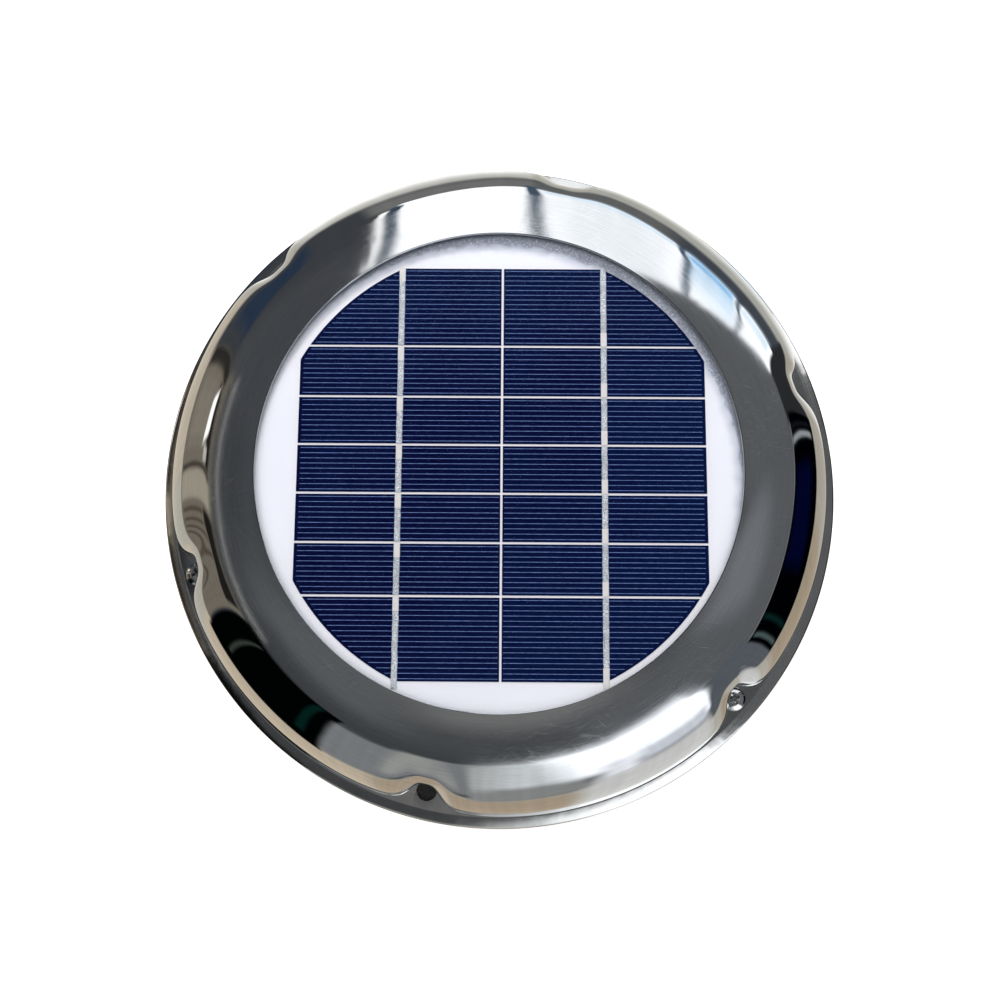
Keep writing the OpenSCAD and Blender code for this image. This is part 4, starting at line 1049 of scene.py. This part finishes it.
# The window, its bars, and the strip of light beside it
room.patch((33.5, 107.5), (11, 65), (264, 266, 270), (1.2, 1.6), 0.02)
room.patch((62, 81), (18, 62), (238, 242, 246), (8, 14))
room.patch((46, 57), (11, 44), (200, 225, 246), (1.5, 18))
room.patch((46.5, 56.5), (11, 24), (140, 188, 230), (2, 14))
room.patch((35, 44), (11, 26), (222, 238, 250), (2, 14))
room.patch((59, 83), (11, 20), (212, 230, 245), (2, 12))
room.patch((83.6, 85.9), (6, 66), (66, 80, 94), (0.9, 2))
room.patch((56.7, 58.5), (10, 66), (76, 92, 108), (0.8, 2), -0.02)
room.patch((44.0, 45.2), (10, 66), (92, 106, 120), (0.7, 2), -0.02)
room.patch((107.2, 109.4), (15, 66), (58, 72, 86), (0.7, 3), 0.04)
room.patch((109.8, 111.4), (20, 66), (262, 262, 262), (0.7, 6), 0.04)
room.patch((22, 78), (49.3, 100), (86, 88, 90), (6, 2.4), 0.0, 0.61)
room.patch((20, 160), (69.5, 100), (24, 26, 30), (8, 5))
# Beige wall: a pane with a bright patch, a post, a dark pane, a curtain, and a pale rail above
room.patch((146.5, 197), (-19, 46), (106, 100, 90), (1.4, 1.6), 0.0, 0.08)
room.patch((146.5, 150), (-17, 41), (46, 44, 42), (1.8, 3))
room.patch((152, 164), (-14, 22), (122, 116, 105), (8, 14))
room.patch((151, 166.5), (29, 42), (36, 35, 34), (1.6, 3), 0.0, 0.1)
room.patch((153.5, 161.5), (21, 33), (268, 266, 260), (2, 4), -0.25, -0.3)
room.patch((163, 166), (24, 34), (180, 176, 168), (1.4, 4))
room.patch((168.2, 174), (-17, 44), (146, 139, 125), (1.4, 4))
room.patch((166.8, 167.8), (-17, 44), (66, 62, 56), (0.8, 4))
room.patch((175.5, 195), (29, 46), (34, 33, 31), (1.8, 3), 0.0, 0.08)
for fold in range(176, 187, 3):
    room.patch((fold, fold + 1.1), (-14, 27), (76, 70, 62), (0.7, 8))
room.patch((146, 202), (49.6, 50.5), (168, 168, 166), (3, 0.7), 0.0, 0.11)
room.patch((146, 202), (47.8, 49.0), (40, 41, 42), (3, 0.8), 0.0, 0.11)
# Dark doorway with green edges
room.patch((197.5, 230.5), (-25, 50), (6, 10, 10), (1.6, 3), 0.0, -0.06)
room.patch((205.6, 206.5), (-12, 42), (58, 62, 58), (0.7, 6))
room.patch((224, 226), (-13, 46), (12, 36, 32), (1.2, 6))
# Grey wall, then a bright side window
room.patch((230, 264), (-16, 43), (116, 118, 120), (2.5, 7), 0.0, 0.45)
room.patch((246, 256), (-4, 46), (142, 143, 140), (6, 14))
room.patch((262, 290), (-18, 53), (128, 130, 129), (6, 7), 0.0, 0.2)
room.patch((263, 270), (0, 46), (148, 150, 148), (3, 12))
room.patch((268, 300), (6, 55), (190, 194, 196), (16, 10))
room.patch((284, 323), (2, 56), (272, 276, 282), (13, 9), -0.12)
room.patch((304, 323), (4, 56), (272, 276, 282), (3, 6), -0.12)
room.patch((292, 300), (-10, 12), (226, 229, 234), (6, 9))
room.patch((300, 321), (-6, 14), (196, 200, 208), (6, 14))
room.patch((323, 336), (-16, 44), (82, 87, 92), (3, 8))
# Dark side with a navy gleam and a thin pale rail above it
room.patch((335, 384), (-18, 30), (6, 7, 10), (1.4, 1.6), 0.0, -0.06)
room.patch((353, 372), (-6, 25), (9, 13, 40), (5, 10))
room.patch((336, 382), (30.8, 31.6), (132, 130, 126), (3, 0.7), 0.0, -0.06)
for edge, tone in ((337, (70, 84, 82)), (341.6, (16, 36, 34)), (377.4, (140, 146, 150)), (380, (22, 24, 28))):
    room.patch((edge, edge + 1.3), (-13, 28), tone, (1.0, 7))
room.streaks(0.08, 1.6, -90, 44)
room.build("room")


def soft_light(name, power, size, place):
    """A disc-shaped lamp aimed at the part, which glossy surfaces and the camera don't see."""
    lamp = bpy.data.lights.new(name, "AREA")
    lamp.energy, lamp.size, lamp.shape = power, size, "DISK"
    thing = bpy.data.objects.new(name, lamp)
    bpy.context.scene.collection.objects.link(thing)
    thing.location = place
    thing.rotation_euler = (-Vector(place)).to_track_quat("-Z", "Y").to_euler()
    thing.visible_glossy = thing.visible_camera = False
    return thing


soft_light("key_above", 9, 1.4, (-0.15, 0.1, 1.3))
soft_light("key_back", 9, 0.35, (0.05, 1.0, 0.8))

world = bpy.data.worlds.new("studio")
bpy.context.scene.world = world
world.use_nodes = True
tree = world.node_tree
tree.nodes.clear()


def world_node(kind, **settings):
    made = tree.nodes.new(kind)
    for key, value in settings.items():
        setattr(made, key, value)
    return made


soft_sky = world_node("ShaderNodeBackground")
soft_sky.inputs["Color"].default_value = (1.0, 0.99, 1.0, 1)
soft_sky.inputs["Strength"].default_value = 0.6
white_sky = world_node("ShaderNodeBackground")
white_sky.inputs["Color"].default_value = (1, 1, 1, 1)
by_camera = world_node("ShaderNodeMixShader")
tree.links.new(world_node("ShaderNodeLightPath").outputs["Is Camera Ray"], by_camera.inputs[0])
tree.links.new(soft_sky.outputs[0], by_camera.inputs[1])
tree.links.new(white_sky.outputs[0], by_camera.inputs[2])
tree.links.new(by_camera.outputs[0], world_node("ShaderNodeOutputWorld").inputs["Surface"])

bpy.context.scene.view_settings.view_transform = "Standard"
bpy.context.scene.view_settings.look = "None"

CAMERA_TURN, CAMERA_TILT, CAMERA_ROLL = math.radians(1.317), math.radians(78.845), math.radians(-0.943)
CAMERA_DISTANCE, CAMERA_AIM_Z = 0.43415, 0.0017
lens = bpy.data.cameras.new("camera")
lens.lens, lens.sensor_width = 48.52, 36.0
lens.shift_x, lens.shift_y = 0.00077, -0.0147
lens.clip_start, lens.clip_end = 0.01, 20.0
camera = bpy.data.objects.new("camera", lens)
bpy.context.scene.collection.objects.link(camera)
right = Vector((math.cos(CAMERA_TURN), math.sin(CAMERA_TURN), 0))
back = Vector((
    math.cos(CAMERA_TILT) * math.sin(CAMERA_TURN), -math.cos(CAMERA_TILT) * math.cos(CAMERA_TURN),
    math.sin(CAMERA_TILT),
))
up = back.cross(right)
axes = (
    right * math.cos(CAMERA_ROLL) + up * math.sin(CAMERA_ROLL),
    up * math.cos(CAMERA_ROLL) - right * math.sin(CAMERA_ROLL),
    back,
)
stand = Matrix.Translation(back * CAMERA_DISTANCE + Vector((0, 0, CAMERA_AIM_Z)))
camera.matrix_world = stand @ Matrix(axes).transposed().to_4x4()
bpy.context.scene.camera = camera

bpy.context.view_layer.update()
